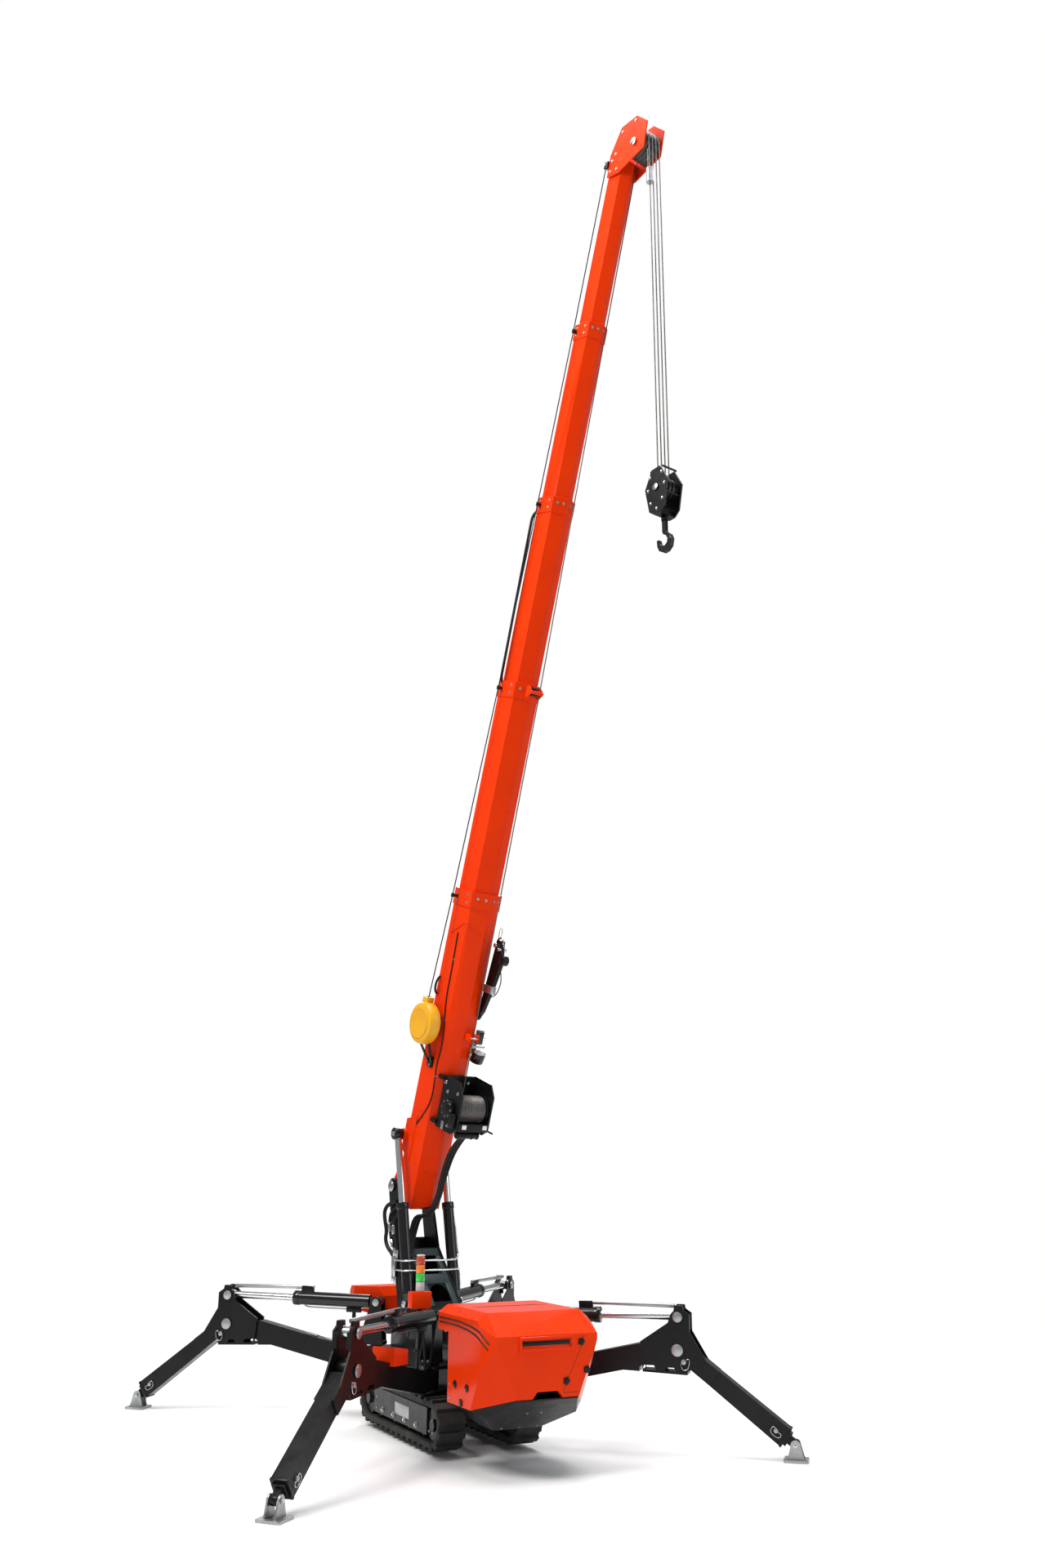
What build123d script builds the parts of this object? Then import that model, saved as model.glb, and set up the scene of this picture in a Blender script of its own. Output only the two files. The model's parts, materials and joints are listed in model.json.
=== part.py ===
"""Spider crane: a small crane on rubber tracks, standing on four folding outriggers.

Millimetres, +Z up, floor at z = 0, origin on the floor under the middle of the whole part's box.
The engine hood is at the -Y end. In names, left is -X and front is the hood end.
Y values below are counted from the point midway between the outrigger columns, at MIDDLE_Y.
The crane part is built turned and raised as in the photo: HEADING is where the boom points,
ELEVATION is its angle above the floor.
"""
import os
from math import atan2, cos, degrees, hypot, radians, sin

from build123d import *

MIDDLE_Y = 371

# Outriggers, all four alike. Reaches are from the swivel column's axis, in the leg's upright plane.
COLUMN_X = 282
COLUMN_Y = 554
LEG_AZIMUTH = 42.3
COLUMN_RADIUS = 45
COLUMN_LOW = 358
COLUMN_HIGH = 560
LUG_PLATE = 24
LOWER_LUG_Z = 358
UPPER_LUG_Z = 512
KNEE_R = 1257
KNEE_Z = 659
HORN_R = 1263
HORN_Z = 872
BARREL_PIN_Z = 852
FOOT_R = 2025
FOOT_Z = 100
ARM_HALF = 48
GUARD_HALF = 80
GUARD_SHEET = 5
KNEE_GAP = 6
KNEE_PLATE = 12
KNEE_PIN = 22
PIN_CLEARANCE = 1
LEG_DEPTH = 130
LEG_BORE_DEPTH = 104
LEG_BORE_HALF = 48
EXTENSION_DEPTH = 92
EXTENSION_HALF = 42
LEG_BOX_START = 84
LEG_ROOT_LOW = 48
LEG_BOX_SHORT = 70
EXTENSION_LENGTH = 480
EXTENSION_NECK = 50
EYE_SLOT = 34
PAD_SIDE = 160
PAD_THICK = 16

# Outrigger cylinders
LEG_BARREL_RADIUS = 50
LEG_BARREL_END = 705
LEG_ROD_RADIUS = 26
CYLINDER_CLEARANCE = 5
GLAND = 30

# Crane: slew axis, boom foot pin, lift cylinders. "h" runs along the heading from the slew axis.
SLEW_X = -8
SLEW_Y = 50
HEADING = -79.8
ELEVATION = 71.6
FOOT_PIN_H = -423
FOOT_PIN_Z = 1715
LIFT_BASE_H = -52
LIFT_BASE_Z = 878
LIFT_TOP_H = -288
LIFT_TOP_Z = 2113
LIFT_LATERAL = 210
LIFT_BARREL_RADIUS = 43
LIFT_ROD_RADIUS = 27
LIFT_BARREL_SHARE = 0.575
POST_LOW = 746
POST_INNER = 138
POST_PLATE = 20

# Boom: five six-sided tubes. "s" runs along the boom from the foot pin, "d" below the pin's line.
AXIS_DROP = 145
BOOM_WALL = 6
BOOM_WIDTH = 265
BOOM_SIDE = 246
BOOM_KEEL = 68
STEP_WIDTH = 30
STEP_SIDE = 23
STEP_KEEL = 5
SLIDE_GAP = 1
MOUTH = 40
# section, start, end
SECTIONS = (
    (1, -90, 2420),
    (2, 1960, 4110),
    (3, 3650, 5620),
    (4, 5170, 7060),
    (5, 6620, 8400),
)
COLLAR_LENGTH = 130
COLLAR_THICK = 9
SHEAVE_S = 8500
SHEAVE_D = 365
SHEAVE_RADIUS = 118
SHEAVE_WIDTH = 26
ROPE_RADIUS = 5
SEAT_GAP = 0.3
HEAD_CHEEK = 84
LIMIT_WEIGHT_DROP = 458

# Hook block under the head
BLOCK_TOP = 6735
BLOCK_LOW = 6330
HOOK_LOW = 6045

# Engine hood
HOOD_REAR = -1085
HOOD_LID_REAR = -915
HOOD_FRONT = -1750
HOOD_HALF = 400
HOOD_FRONT_HALF = 360
LID_HALF = 335
HOOD_LOW = 385
HOOD_LID_LOW = 810
HOOD_TOP = 965
HOOD_LIP_Z = 474
HOOD_CORNER_Y = -1450

# Undercarriage
TRACK_OUTER = 385
TRACK_WIDTH = 195
TRACK_FRONT = -938
TRACK_REAR = 610
TRACK_LOW = 34
TRACK_HIGH = 352
BELT = 34
LUG = 18


def upright(x, y, angle):
    """An upright plane: its x runs along the angle, its y runs up, its normal is sideways."""
    return Plane(
        origin=(x, MIDDLE_Y + y, 0),
        x_dir=(cos(angle), sin(angle), 0),
        z_dir=(sin(angle), -cos(angle), 0),
    )


def slab(plane, points, near, far, mode=Mode.ADD):
    """Extrude an outline between two distances along the plane's normal."""
    with BuildSketch(plane.offset(near), mode=Mode.PRIVATE) as outline:
        with BuildLine():
            Polyline(*points, close=True)
        make_face()
    extrude(outline.sketch, amount=far - near, mode=mode)


def disc(plane, centre, radius, near, far, mode=Mode.ADD):
    """A cylinder along the plane's normal, between two distances."""
    with BuildSketch(plane.offset(near), mode=Mode.PRIVATE) as round_face:
        with Locations(centre):
            Circle(radius)
    extrude(round_face.sketch, amount=far - near, mode=mode)


def bar(start, end, radius, mode=Mode.ADD):
    """A round bar between two points."""
    run = Vector(*end) - Vector(*start)
    with BuildSketch(Plane(origin=start, z_dir=run), mode=Mode.PRIVATE) as round_face:
        Circle(radius)
    extrude(round_face.sketch, amount=run.length, mode=mode)


def along(start, angle, distance, offset=0):
    """A point at a distance along an angle from a start, and offset square to it."""
    return (
        start[0] + distance * cos(angle) - offset * sin(angle),
        start[1] + distance * sin(angle) + offset * cos(angle),
    )


def beam(start, angle, near, far, low, high):
    """The four corners of a straight box seen from the side."""
    return (
        along(start, angle, near, low),
        along(start, angle, far, low),
        along(start, angle, far, high),
        along(start, angle, near, high),
    )


def save(built, name):
    """Label a finished piece and write it."""
    built.part.label = name
    export_step(built.part, f"parts/{name}.step")


os.makedirs("parts", exist_ok=True)

SIDE_VIEW = Plane(origin=(0, MIDDLE_Y, 0), x_dir=(0, 1, 0), z_dir=(1, 0, 0))
FRONT_VIEW = Plane(origin=(0, MIDDLE_Y, 0), x_dir=(1, 0, 0), z_dir=(0, -1, 0))
TOP_VIEW = Plane(origin=(0, MIDDLE_Y, 0), x_dir=(1, 0, 0), z_dir=(0, 0, 1))
slew_plane = upright(SLEW_X, SLEW_Y, radians(HEADING))
boom_angle = radians(ELEVATION)
foot_pin = (FOOT_PIN_H, FOOT_PIN_Z)


def on_boom(distance, drop):
    """A point in the slewing plane, at a distance along the boom and a drop below its foot pin."""
    return along(foot_pin, boom_angle, distance, -drop)


# Undercarriage: two rubber tracks, each one closed loop with its lugs
track_radius = (TRACK_HIGH - TRACK_LOW) / 2 - LUG
track_axle_z = TRACK_LOW + LUG + track_radius
front_axle_y = TRACK_FRONT + LUG + track_radius
rear_axle_y = TRACK_REAR - LUG - track_radius
# name, side sign
SIDES = (("left", -1), ("right", 1))
for side, sign in SIDES:
    inner_x = TRACK_OUTER - TRACK_WIDTH
    near_x = min(sign * inner_x, sign * TRACK_OUTER)
    far_x = near_x + TRACK_WIDTH
    track_middle = ((front_axle_y + rear_axle_y) / 2, track_axle_z)
    track_run = rear_axle_y - front_axle_y
    with BuildPart() as track:
        with BuildSketch(SIDE_VIEW.offset(near_x)):
            with Locations(track_middle):
                SlotCenterToCenter(track_run, 2 * track_radius)
                SlotCenterToCenter(track_run, 2 * (track_radius - BELT), mode=Mode.SUBTRACT)
            lug_count = 13
            for index in range(lug_count):
                lug_y = front_axle_y + track_run * index / (lug_count - 1)
                for lug_z in (track_axle_z - track_radius, track_axle_z + track_radius):
                    with Locations((lug_y, lug_z)):
                        Rectangle(46, 2 * LUG)
            for axle_y, first in ((front_axle_y, 90), (rear_axle_y, -90)):
                for turn in (36, 72, 108, 144):
                    angle = radians(first + turn)
                    lug_spot = along((axle_y, track_axle_z), angle, track_radius)
                    with Locations(Location((lug_spot[0], lug_spot[1]), degrees(angle))):
                        Rectangle(2 * LUG, 46)
        extrude(amount=TRACK_WIDTH)
    save(track, f"track_{side}")

    # Track frame with its cover plate, end wheels and rollers, all on one body
    with BuildPart() as frame:
        frame_near = near_x + 20
        frame_far = far_x - 14
        plate_near = frame_far - 22 if sign > 0 else near_x + 14
        low_z = track_axle_z - track_radius + BELT + 8
        high_z = track_axle_z + track_radius - BELT - 12
        beam_low = low_z + 46
        slab(
            SIDE_VIEW,
            ((front_axle_y + 20, beam_low), (rear_axle_y - 20, beam_low),
             (rear_axle_y - 20, high_z), (front_axle_y + 20, high_z)),
            near_x + 50,
            far_x - 50,
        )
        slab(
            SIDE_VIEW,
            ((front_axle_y + 95, low_z + 26), (rear_axle_y - 130, low_z + 26),
             (rear_axle_y - 130, high_z), (front_axle_y + 95, high_z)),
            plate_near,
            plate_near + 40,
        )
        wheel = track_radius - BELT
        for axle_y in (front_axle_y, rear_axle_y):
            disc(SIDE_VIEW, (axle_y, track_axle_z), wheel, near_x + 30, far_x - 30)
            disc(SIDE_VIEW, (axle_y, track_axle_z), 38, near_x + 10, far_x - 10)
        for index in range(4):
            roller_y = front_axle_y + 210 + (track_run - 420) * index / 3
            disc(SIDE_VIEW, (roller_y, low_z + 34), 30, near_x + 40, far_x - 40)
    save(frame, f"track_frame_{side}")

# Chassis: a box between the tracks, cross tubes into the track frames, lugs for the four columns
with BuildPart() as chassis:
    slab(SIDE_VIEW, ((HOOD_REAR, 310), (600, 372), (600, 640), (-620, 640), (HOOD_REAR, 470)), -150, 150)
    for axle_y in (-560, 240):
        slab(
            SIDE_VIEW,
            ((axle_y - 45, 190), (axle_y + 45, 190), (axle_y + 45, 270), (axle_y - 45, 270)),
            -240,
            240,
        )
        slab(
            SIDE_VIEW,
            ((axle_y - 60, 180), (axle_y + 60, 180), (axle_y + 80, 380), (axle_y - 80, 380)),
            -130,
            130,
        )
    with BuildSketch(TOP_VIEW.offset(640)):
        with Locations((SLEW_X, SLEW_Y)):
            Circle(215)
    extrude(amount=POST_LOW - SEAT_GAP - 640)
    for x_sign in (-1, 1):
        for y_sign in (-1, 1):
            centre = (x_sign * COLUMN_X, y_sign * COLUMN_Y)
            for lug_z in (LOWER_LUG_Z, UPPER_LUG_Z):
                with BuildSketch(TOP_VIEW.offset(lug_z)):
                    with Locations(centre):
                        Circle(76)
                    with BuildLine():
                        Polyline(
                            (x_sign * 120, y_sign * 330),
                            (x_sign * 160, y_sign * 330),
                            (x_sign * (COLUMN_X + 55), y_sign * (COLUMN_Y - 52)),
                            (x_sign * (COLUMN_X - 30), y_sign * (COLUMN_Y + 70)),
                            (x_sign * 120, y_sign * 600),
                            close=True,
                        )
                    make_face()
                extrude(amount=LUG_PLATE)
            with BuildSketch(TOP_VIEW.offset(LOWER_LUG_Z + 10)):
                with BuildLine():
                    Polyline(
                        (x_sign * 120, y_sign * 330),
                        (x_sign * 150, y_sign * 330),
                        (x_sign * 186, y_sign * 430),
                        (x_sign * 150, y_sign * 590),
                        (x_sign * 120, y_sign * 590),
                        close=True,
                    )
                make_face()
            extrude(amount=UPPER_LUG_Z - LOWER_LUG_Z)
    with BuildSketch(TOP_VIEW.offset(LOWER_LUG_Z - 10)):
        with GridLocations(2 * COLUMN_X, 2 * COLUMN_Y, 2, 2):
            Circle(COLUMN_RADIUS + PIN_CLEARANCE)
    extrude(amount=250, mode=Mode.SUBTRACT)
save(chassis, "chassis_frame")

# Hood: front corners slope in below, its lid reaches back over the chassis, a chamfer runs along the top
hood_plan = (
    (-HOOD_HALF, HOOD_LID_REAR),
    (-HOOD_HALF, -1600),
    (-HOOD_FRONT_HALF, HOOD_FRONT),
    (HOOD_FRONT_HALF, HOOD_FRONT),
    (HOOD_HALF, -1600),
    (HOOD_HALF, HOOD_LID_REAR),
)
# The three points that set each lower front corner's facet: front edge high and low, side edge low
CORNER_HIGH = (360, -1750, 800)
CORNER_LIP = (222, -1750, 474)
CORNER_SIDE = (400, -1450, 385)


def corner_facets(inset):
    """Cut both lower front corners of the part in hand along the hood's facets."""
    for sign in (-1, 1):
        high, lip, side = (
            Vector(sign * (x - inset), MIDDLE_Y + y, z) for x, y, z in (CORNER_HIGH, CORNER_LIP, CORNER_SIDE)
        )
        facet = (lip - high).cross(side - high) * sign
        with BuildSketch(Plane(origin=high, z_dir=facet), mode=Mode.PRIVATE) as face:
            Rectangle(2600, 2600)
        extrude(face.sketch, amount=400, mode=Mode.SUBTRACT)


with BuildPart() as hood:
    slab(TOP_VIEW, hood_plan, HOOD_LOW, HOOD_TOP)
    slab(
        SIDE_VIEW,
        ((HOOD_FRONT - 40, 816), (HOOD_FRONT - 40, 1000), (-1550, 1000), (-1550, HOOD_TOP), (HOOD_FRONT, 841)),
        -500,
        500,
        Mode.SUBTRACT,
    )
    slab(
        SIDE_VIEW,
        ((HOOD_REAR, 300), (HOOD_LID_REAR + 10, 300), (HOOD_LID_REAR + 10, HOOD_LID_LOW), (HOOD_REAR, HOOD_LID_LOW)),
        -500,
        500,
        Mode.SUBTRACT,
    )
    slab(
        SIDE_VIEW,
        ((HOOD_FRONT - 60, 300), (HOOD_CORNER_Y, 300), (HOOD_CORNER_Y, HOOD_LOW), (HOOD_FRONT, HOOD_LIP_Z),
         (HOOD_FRONT - 60, HOOD_LIP_Z + 18)),
        -500,
        500,
        Mode.SUBTRACT,
    )
    for sign in (-1, 1):
        slab(
            FRONT_VIEW,
            ((sign * LID_HALF, HOOD_TOP + 40), (sign * LID_HALF, HOOD_TOP), (sign * HOOD_HALF, 920),
             (sign * (HOOD_HALF + 60), 878), (sign * (HOOD_HALF + 60), HOOD_TOP + 40)),
            -HOOD_LID_REAR - 10,
            -HOOD_FRONT + 10,
            Mode.SUBTRACT,
        )
    corner_facets(0)
    # Upper front corners, between the sloped front, the side and the chamfer
    for sign in (-1, 1):
        inner = Vector(sign * LID_HALF, MIDDLE_Y - 1550, HOOD_TOP)
        front = Vector(sign * (HOOD_FRONT_HALF - 5), MIDDLE_Y + HOOD_FRONT, 841)
        side = Vector(sign * HOOD_HALF, MIDDLE_Y - 1540, 920)
        facet = (front - inner).cross(side - inner) * sign
        with BuildSketch(Plane(origin=inner, z_dir=facet), mode=Mode.PRIVATE) as face:
            Rectangle(2600, 2600)
        extrude(face.sketch, amount=400, mode=Mode.SUBTRACT)
    cavity = (
        (-HOOD_HALF + 22, HOOD_REAR - 20), (-HOOD_HALF + 22, -1440), (-185, -1715),
        (185, -1715), (HOOD_HALF - 22, -1440), (HOOD_HALF - 22, HOOD_REAR - 20),
    )
    slab(TOP_VIEW, cavity, HOOD_LOW - 20, 830, Mode.SUBTRACT)
    lid_inner = LID_HALF - 15
    lid_cavity = (
        (-lid_inner, HOOD_LID_REAR - 20), (-lid_inner, -1530), (lid_inner, -1530), (lid_inner, HOOD_LID_REAR - 20),
    )
    slab(TOP_VIEW, lid_cavity, 829, 945, Mode.SUBTRACT)
    # Slot of the lamp across the front
    slab(FRONT_VIEW, ((-184, 772), (148, 772), (148, 800), (-184, 800)), 1740, 1760, Mode.SUBTRACT)
    # Cut-out in the lower front edge
    slab(FRONT_VIEW, ((-105, 440), (105, 440), (105, 476), (75, 512), (-75, 512), (-105, 476)), 1690, 1760, Mode.SUBTRACT)
save(hood, "engine_hood")

# Belly: a boat shape under the hood
with BuildPart() as belly:
    slab(
        SIDE_VIEW,
        ((HOOD_REAR, 232), (-1322, 232), (-1738, 460), (-1738, 470.4), (HOOD_CORNER_Y, HOOD_LOW), (HOOD_REAR, HOOD_LOW)),
        -HOOD_HALF + 4,
        HOOD_HALF - 4,
    )
    for sign in (-1, 1):
        slab(
            FRONT_VIEW,
            ((sign * 162, 226), (sign * 162, 180), (sign * (HOOD_HALF + 40), 180), (sign * (HOOD_HALF + 40), 420)),
            1000,
            1800,
            Mode.SUBTRACT,
        )
    corner_facets(4)
save(belly, "belly_tray")

with BuildPart() as engine:
    slab(TOP_VIEW, ((-260, -1445), (260, -1445), (260, -1130), (-260, -1130)), HOOD_LOW, 740)
save(engine, "engine_block")

# Rear cover, on a pillar behind the chassis
rear_plan = (
    (-215, 604), (215, 604), (300, 700), (385, 830), (385, 930), (340, 960),
    (-340, 960), (-385, 930), (-385, 830), (-300, 700),
)
with BuildPart() as rear_cover:
    slab(TOP_VIEW, rear_plan, 742, 958)
    slab(
        SIDE_VIEW,
        ((590, 700), (970, 700), (970, 802), (604, 742), (590, 742)),
        -500,
        500,
        Mode.SUBTRACT,
    )
    slab(
        SIDE_VIEW,
        ((590, 890), (604, 890), (650, 958), (900, 952), (970, 860), (980, 860), (980, 1000), (590, 1000)),
        -500,
        500,
        Mode.SUBTRACT,
    )
    slab(SIDE_VIEW, ((600, 560), (690, 560), (690, 756), (604, 742), (600, 742)), -112, 112)
save(rear_cover, "rear_cover")

# Stack light: a lamp column on a box, on a bent bracket from the chassis side
BEACON_X = -300
BEACON_Y = -330
with BuildPart() as beacon:
    slab(TOP_VIEW, ((-335, -352), (-150, -352), (-150, -308), (-335, -308)), 600, 612)
    slab(TOP_VIEW, ((-320, -352), (-280, -352), (-280, -308), (-320, -308)), 612, 884)
    slab(TOP_VIEW, ((-380, -372), (-220, -372), (-220, -288), (-380, -288)), 884, 1000)
    with BuildSketch(TOP_VIEW.offset(1000)):
        with Locations((BEACON_X, BEACON_Y)):
            Circle(33)
    extrude(amount=250)
save(beacon, "stack_light")

# Post: base disc, two leaning plates that hold the boom's foot pin, webs between them
post_outline = (
    (-290, 806), (150, 806), (130, 850), (-210, 1260), (-280, 1500), (-361, 1700),
    (-361, FOOT_PIN_Z), (-485, FOOT_PIN_Z), (-460, 1580), (-300, 850),
)
POST_HEAD = 62
web_foot = (130, 850)
web_top = (-210, 1260)
web_length = hypot(web_top[0] - web_foot[0], web_top[1] - web_foot[1])
web_angle = atan2(web_top[1] - web_foot[1], web_top[0] - web_foot[0])
with BuildPart() as post:
    with BuildSketch(TOP_VIEW.offset(POST_LOW)):
        with Locations((SLEW_X, SLEW_Y)):
            Circle(250)
    extrude(amount=62)
    for near in (-POST_INNER - POST_PLATE, POST_INNER):
        slab(slew_plane, post_outline, near, near + POST_PLATE)
        disc(slew_plane, foot_pin, POST_HEAD, near, near + POST_PLATE)
    # Front web, with a tapered opening above a round-topped one
    slab(slew_plane, beam(web_foot, web_angle, 0, web_length, 0, 14), -POST_INNER, POST_INNER)
    slab(slew_plane, ((130, 850), (150, 806), (132, 806), (114, 850)), -POST_INNER, POST_INNER)
    up_slope = slew_plane.x_dir * cos(web_angle) + Vector(0, 0, 1) * sin(web_angle)
    web_face = Plane(
        origin=slew_plane.from_local_coords(Vector(*web_foot, 0)),
        x_dir=slew_plane.z_dir,
        z_dir=slew_plane.z_dir.cross(up_slope),
    )
    with BuildSketch(web_face.offset(-30), mode=Mode.PRIVATE) as openings:
        with BuildLine():
            Polyline((-62, 300), (62, 300), (88, 460), (-88, 460), close=True)
        make_face()
        with BuildLine():
            Line((-78, 60), (78, 60))
            Line((78, 60), (78, 130))
            ThreePointArc((78, 130), (0, 208), (-78, 130))
            Line((-78, 130), (-78, 60))
        make_face()
    extrude(openings.sketch, amount=60, mode=Mode.SUBTRACT)
    rear_web = ((-290, 806), (-274, 806), (-288, 850), (-390, 1316), (-405, 1330), (-300, 850))
    slab(slew_plane, rear_web, -POST_INNER, POST_INNER)
    for near, far in ((-LIFT_LATERAL - 44, -POST_INNER), (POST_INNER, LIFT_LATERAL + 44)):
        disc(slew_plane, (LIFT_BASE_H, LIFT_BASE_Z), 19, near, far)
    disc(slew_plane, foot_pin, 30, -POST_INNER - POST_PLATE - 10, POST_INNER + POST_PLATE + 10)
save(post, "slewing_post")

# Lift cylinders, one each side of the post
lift_base = (LIFT_BASE_H, LIFT_BASE_Z)
lift_angle = atan2(LIFT_TOP_Z - LIFT_BASE_Z, LIFT_TOP_H - LIFT_BASE_H)
lift_length = hypot(LIFT_TOP_Z - LIFT_BASE_Z, LIFT_TOP_H - LIFT_BASE_H)
barrel_length = lift_length * LIFT_BARREL_SHARE
lift_side = Plane(
    origin=slew_plane.from_local_coords(Vector(*lift_base, 0)),
    z_dir=slew_plane.x_dir * cos(lift_angle) + Vector(0, 0, 1) * sin(lift_angle),
    x_dir=slew_plane.z_dir,
)
with BuildPart() as lift_barrels:
    with BuildSketch(lift_side.offset(70)):
        with Locations((-LIFT_LATERAL, 0), (LIFT_LATERAL, 0)):
            Circle(LIFT_BARREL_RADIUS)
    extrude(amount=barrel_length - 70)
    with BuildSketch(lift_side):
        with Locations((-LIFT_LATERAL, 0), (LIFT_LATERAL, 0)):
            Rectangle(48, 60)
    extrude(amount=90)
    for middle in (-LIFT_LATERAL, LIFT_LATERAL):
        disc(slew_plane, lift_base, 40, middle - 24, middle + 24)
        disc(slew_plane, lift_base, 19 + PIN_CLEARANCE, middle - 40, middle + 40, Mode.SUBTRACT)
    with BuildSketch(lift_side.offset(110)):
        with Locations((-LIFT_LATERAL, 0), (LIFT_LATERAL, 0)):
            Circle(LIFT_ROD_RADIUS + CYLINDER_CLEARANCE)
    extrude(amount=barrel_length - 110 - GLAND, mode=Mode.SUBTRACT)
    with BuildSketch(lift_side.offset(110)):
        with Locations((-LIFT_LATERAL, 0), (LIFT_LATERAL, 0)):
            Circle(LIFT_ROD_RADIUS + SLIDE_GAP)
    extrude(amount=barrel_length, mode=Mode.SUBTRACT)
save(lift_barrels, "lift_cylinder_barrels")

with BuildPart() as lift_rods:
    with BuildSketch(lift_side.offset(barrel_length - 170)):
        with Locations((-LIFT_LATERAL, 0), (LIFT_LATERAL, 0)):
            Circle(LIFT_ROD_RADIUS)
    extrude(amount=lift_length - barrel_length + 160)
    for middle in (-LIFT_LATERAL, LIFT_LATERAL):
        disc(slew_plane, (LIFT_TOP_H, LIFT_TOP_Z), 42, middle - 24, middle + 24)
save(lift_rods, "lift_cylinder_rods")

# Boom sections: six-sided tubes with a thicker collar at the outer end
boom_dir = slew_plane.x_dir * cos(boom_angle) + Vector(0, 0, 1) * sin(boom_angle)
drop_dir = slew_plane.x_dir * sin(boom_angle) - Vector(0, 0, 1) * cos(boom_angle)
pin_point = slew_plane.from_local_coords(Vector(FOOT_PIN_H, FOOT_PIN_Z, 0))
boom_axis = pin_point + drop_dir * AXIS_DROP
# A cross plane of the boom: its x is sideways, its y is the drop below the boom's own axis.
cross = Plane(origin=boom_axis, x_dir=slew_plane.z_dir, z_dir=boom_dir)


def six_sides(width, side, keel):
    """The six corners of a boom section, sideways and drop."""
    return (
        (-width / 2, -side / 2), (0, -side / 2 - keel), (width / 2, -side / 2),
        (width / 2, side / 2), (0, side / 2 + keel), (-width / 2, side / 2),
    )


def tube(near, far, width, side, keel, mode=Mode.ADD):
    """A straight six-sided bar along the boom."""
    slab(cross, six_sides(width, side, keel), near, far, mode)


for section, start, end in SECTIONS:
    step = section - 1
    width = BOOM_WIDTH - step * STEP_WIDTH
    side_height = BOOM_SIDE - step * STEP_SIDE
    keel = BOOM_KEEL - step * STEP_KEEL
    collar = COLLAR_THICK if section < 5 else 0
    back = BOOM_WALL if section == 1 else -10
    with BuildPart() as boom:
        tube(start, end, width, side_height, keel)
        if section < 5:
            tube(end - COLLAR_LENGTH, end, width + 2 * collar, side_height + collar, keel + 4)
        if section == 1:
            # Foot: two cheeks round the pin, and the lift cylinders' bosses
            cheek = (
                on_boom(260, 30), on_boom(60, -42), on_boom(-40, -42), on_boom(-90, 0),
                on_boom(-90, 200), on_boom(-60, 268), on_boom(260, 268),
            )
            for near in (-width / 2, width / 2 - 16):
                slab(slew_plane, cheek, near, near + 16)
            for near, far in ((-LIFT_LATERAL + 30, -width / 2 + 8), (width / 2 - 8, LIFT_LATERAL - 30)):
                disc(slew_plane, (LIFT_TOP_H, LIFT_TOP_Z), 46, near, far)
            boss_plate = (on_boom(300, -20), on_boom(540, -20), on_boom(600, 120), on_boom(240, 120))
            for near in (-width / 2 - 6, width / 2 - 2):
                slab(slew_plane, boss_plate, near, near + 8)
        wall = 2 * BOOM_WALL
        if section < 5:
            # A snug mouth, where the next section runs on its pads
            next_width = width - STEP_WIDTH + 2 * SLIDE_GAP
            next_side = side_height - STEP_SIDE + 2 * SLIDE_GAP
            tube(start + back, end - MOUTH, width - wall, side_height - BOOM_WALL, keel - 1, Mode.SUBTRACT)
            tube(end - MOUTH, end + 10, next_width, next_side, keel - STEP_KEEL, Mode.SUBTRACT)
        else:
            tube(start - 10, end + 10, width - wall, side_height - BOOM_WALL, keel - 1, Mode.SUBTRACT)
        if section == 1:
            # The keel's end slopes back over the post's webs
            slab(
                slew_plane,
                (on_boom(-100, 268), on_boom(-90, 268), on_boom(-40, 345), on_boom(-100, 345)),
                -200,
                200,
                Mode.SUBTRACT,
            )
            disc(slew_plane, foot_pin, 30 + PIN_CLEARANCE, -200, 200, Mode.SUBTRACT)
    save(boom, f"boom_section_{section}")

# Head: two cheeks past the end of section 5, with guides and the sheaves between
head_cheek = tuple(
    on_boom(SHEAVE_S + further, SHEAVE_D + lower)
    for further, lower in (
        (-210, -289), (-20, -299), (190, -215), (230, -35), (140, 115), (-80, 135), (-170, -65), (-210, -150),
    )
)
sheave_centre = on_boom(SHEAVE_S, SHEAVE_D)
with BuildPart() as head:
    for near in (-HEAD_CHEEK - 10, HEAD_CHEEK):
        slab(slew_plane, head_cheek, near, near + 10)
    slab(slew_plane, (on_boom(8400, 80), on_boom(8412, 80), on_boom(8412, 240), on_boom(8400, 240)), -85, 85)
    disc(slew_plane, sheave_centre, 16, -HEAD_CHEEK - 18, HEAD_CHEEK + 18)
    disc(slew_plane, on_boom(SHEAVE_S + 160, SHEAVE_D - 150), 9, -HEAD_CHEEK - 4, HEAD_CHEEK + 4)
    disc(slew_plane, on_boom(SHEAVE_S - 30, SHEAVE_D - 225), 9, -HEAD_CHEEK - 4, HEAD_CHEEK + 4)
save(head, "boom_head")

with BuildPart() as sheaves:
    for middle in (-54, -18, 18, 54):
        disc(slew_plane, sheave_centre, SHEAVE_RADIUS, middle - SHEAVE_WIDTH / 2, middle + SHEAVE_WIDTH / 2)
    disc(slew_plane, sheave_centre, 30, -76, 76)
    disc(slew_plane, sheave_centre, 16, -100, 100, Mode.SUBTRACT)
save(sheaves, "head_sheaves")

# Falls, limit weight and hook block hang straight down in front of the sheaves
fall_h = sheave_centre[0] + SHEAVE_RADIUS + ROPE_RADIUS + SEAT_GAP
fall_top = sheave_centre[1]
with BuildPart() as falls:
    for middle in (-54, -18, 18, 54):
        bar(
            slew_plane.from_local_coords(Vector(fall_h, 6628 + SEAT_GAP, middle)),
            slew_plane.from_local_coords(Vector(fall_h, fall_top, middle)),
            ROPE_RADIUS,
        )
save(falls, "rope_falls")

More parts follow.
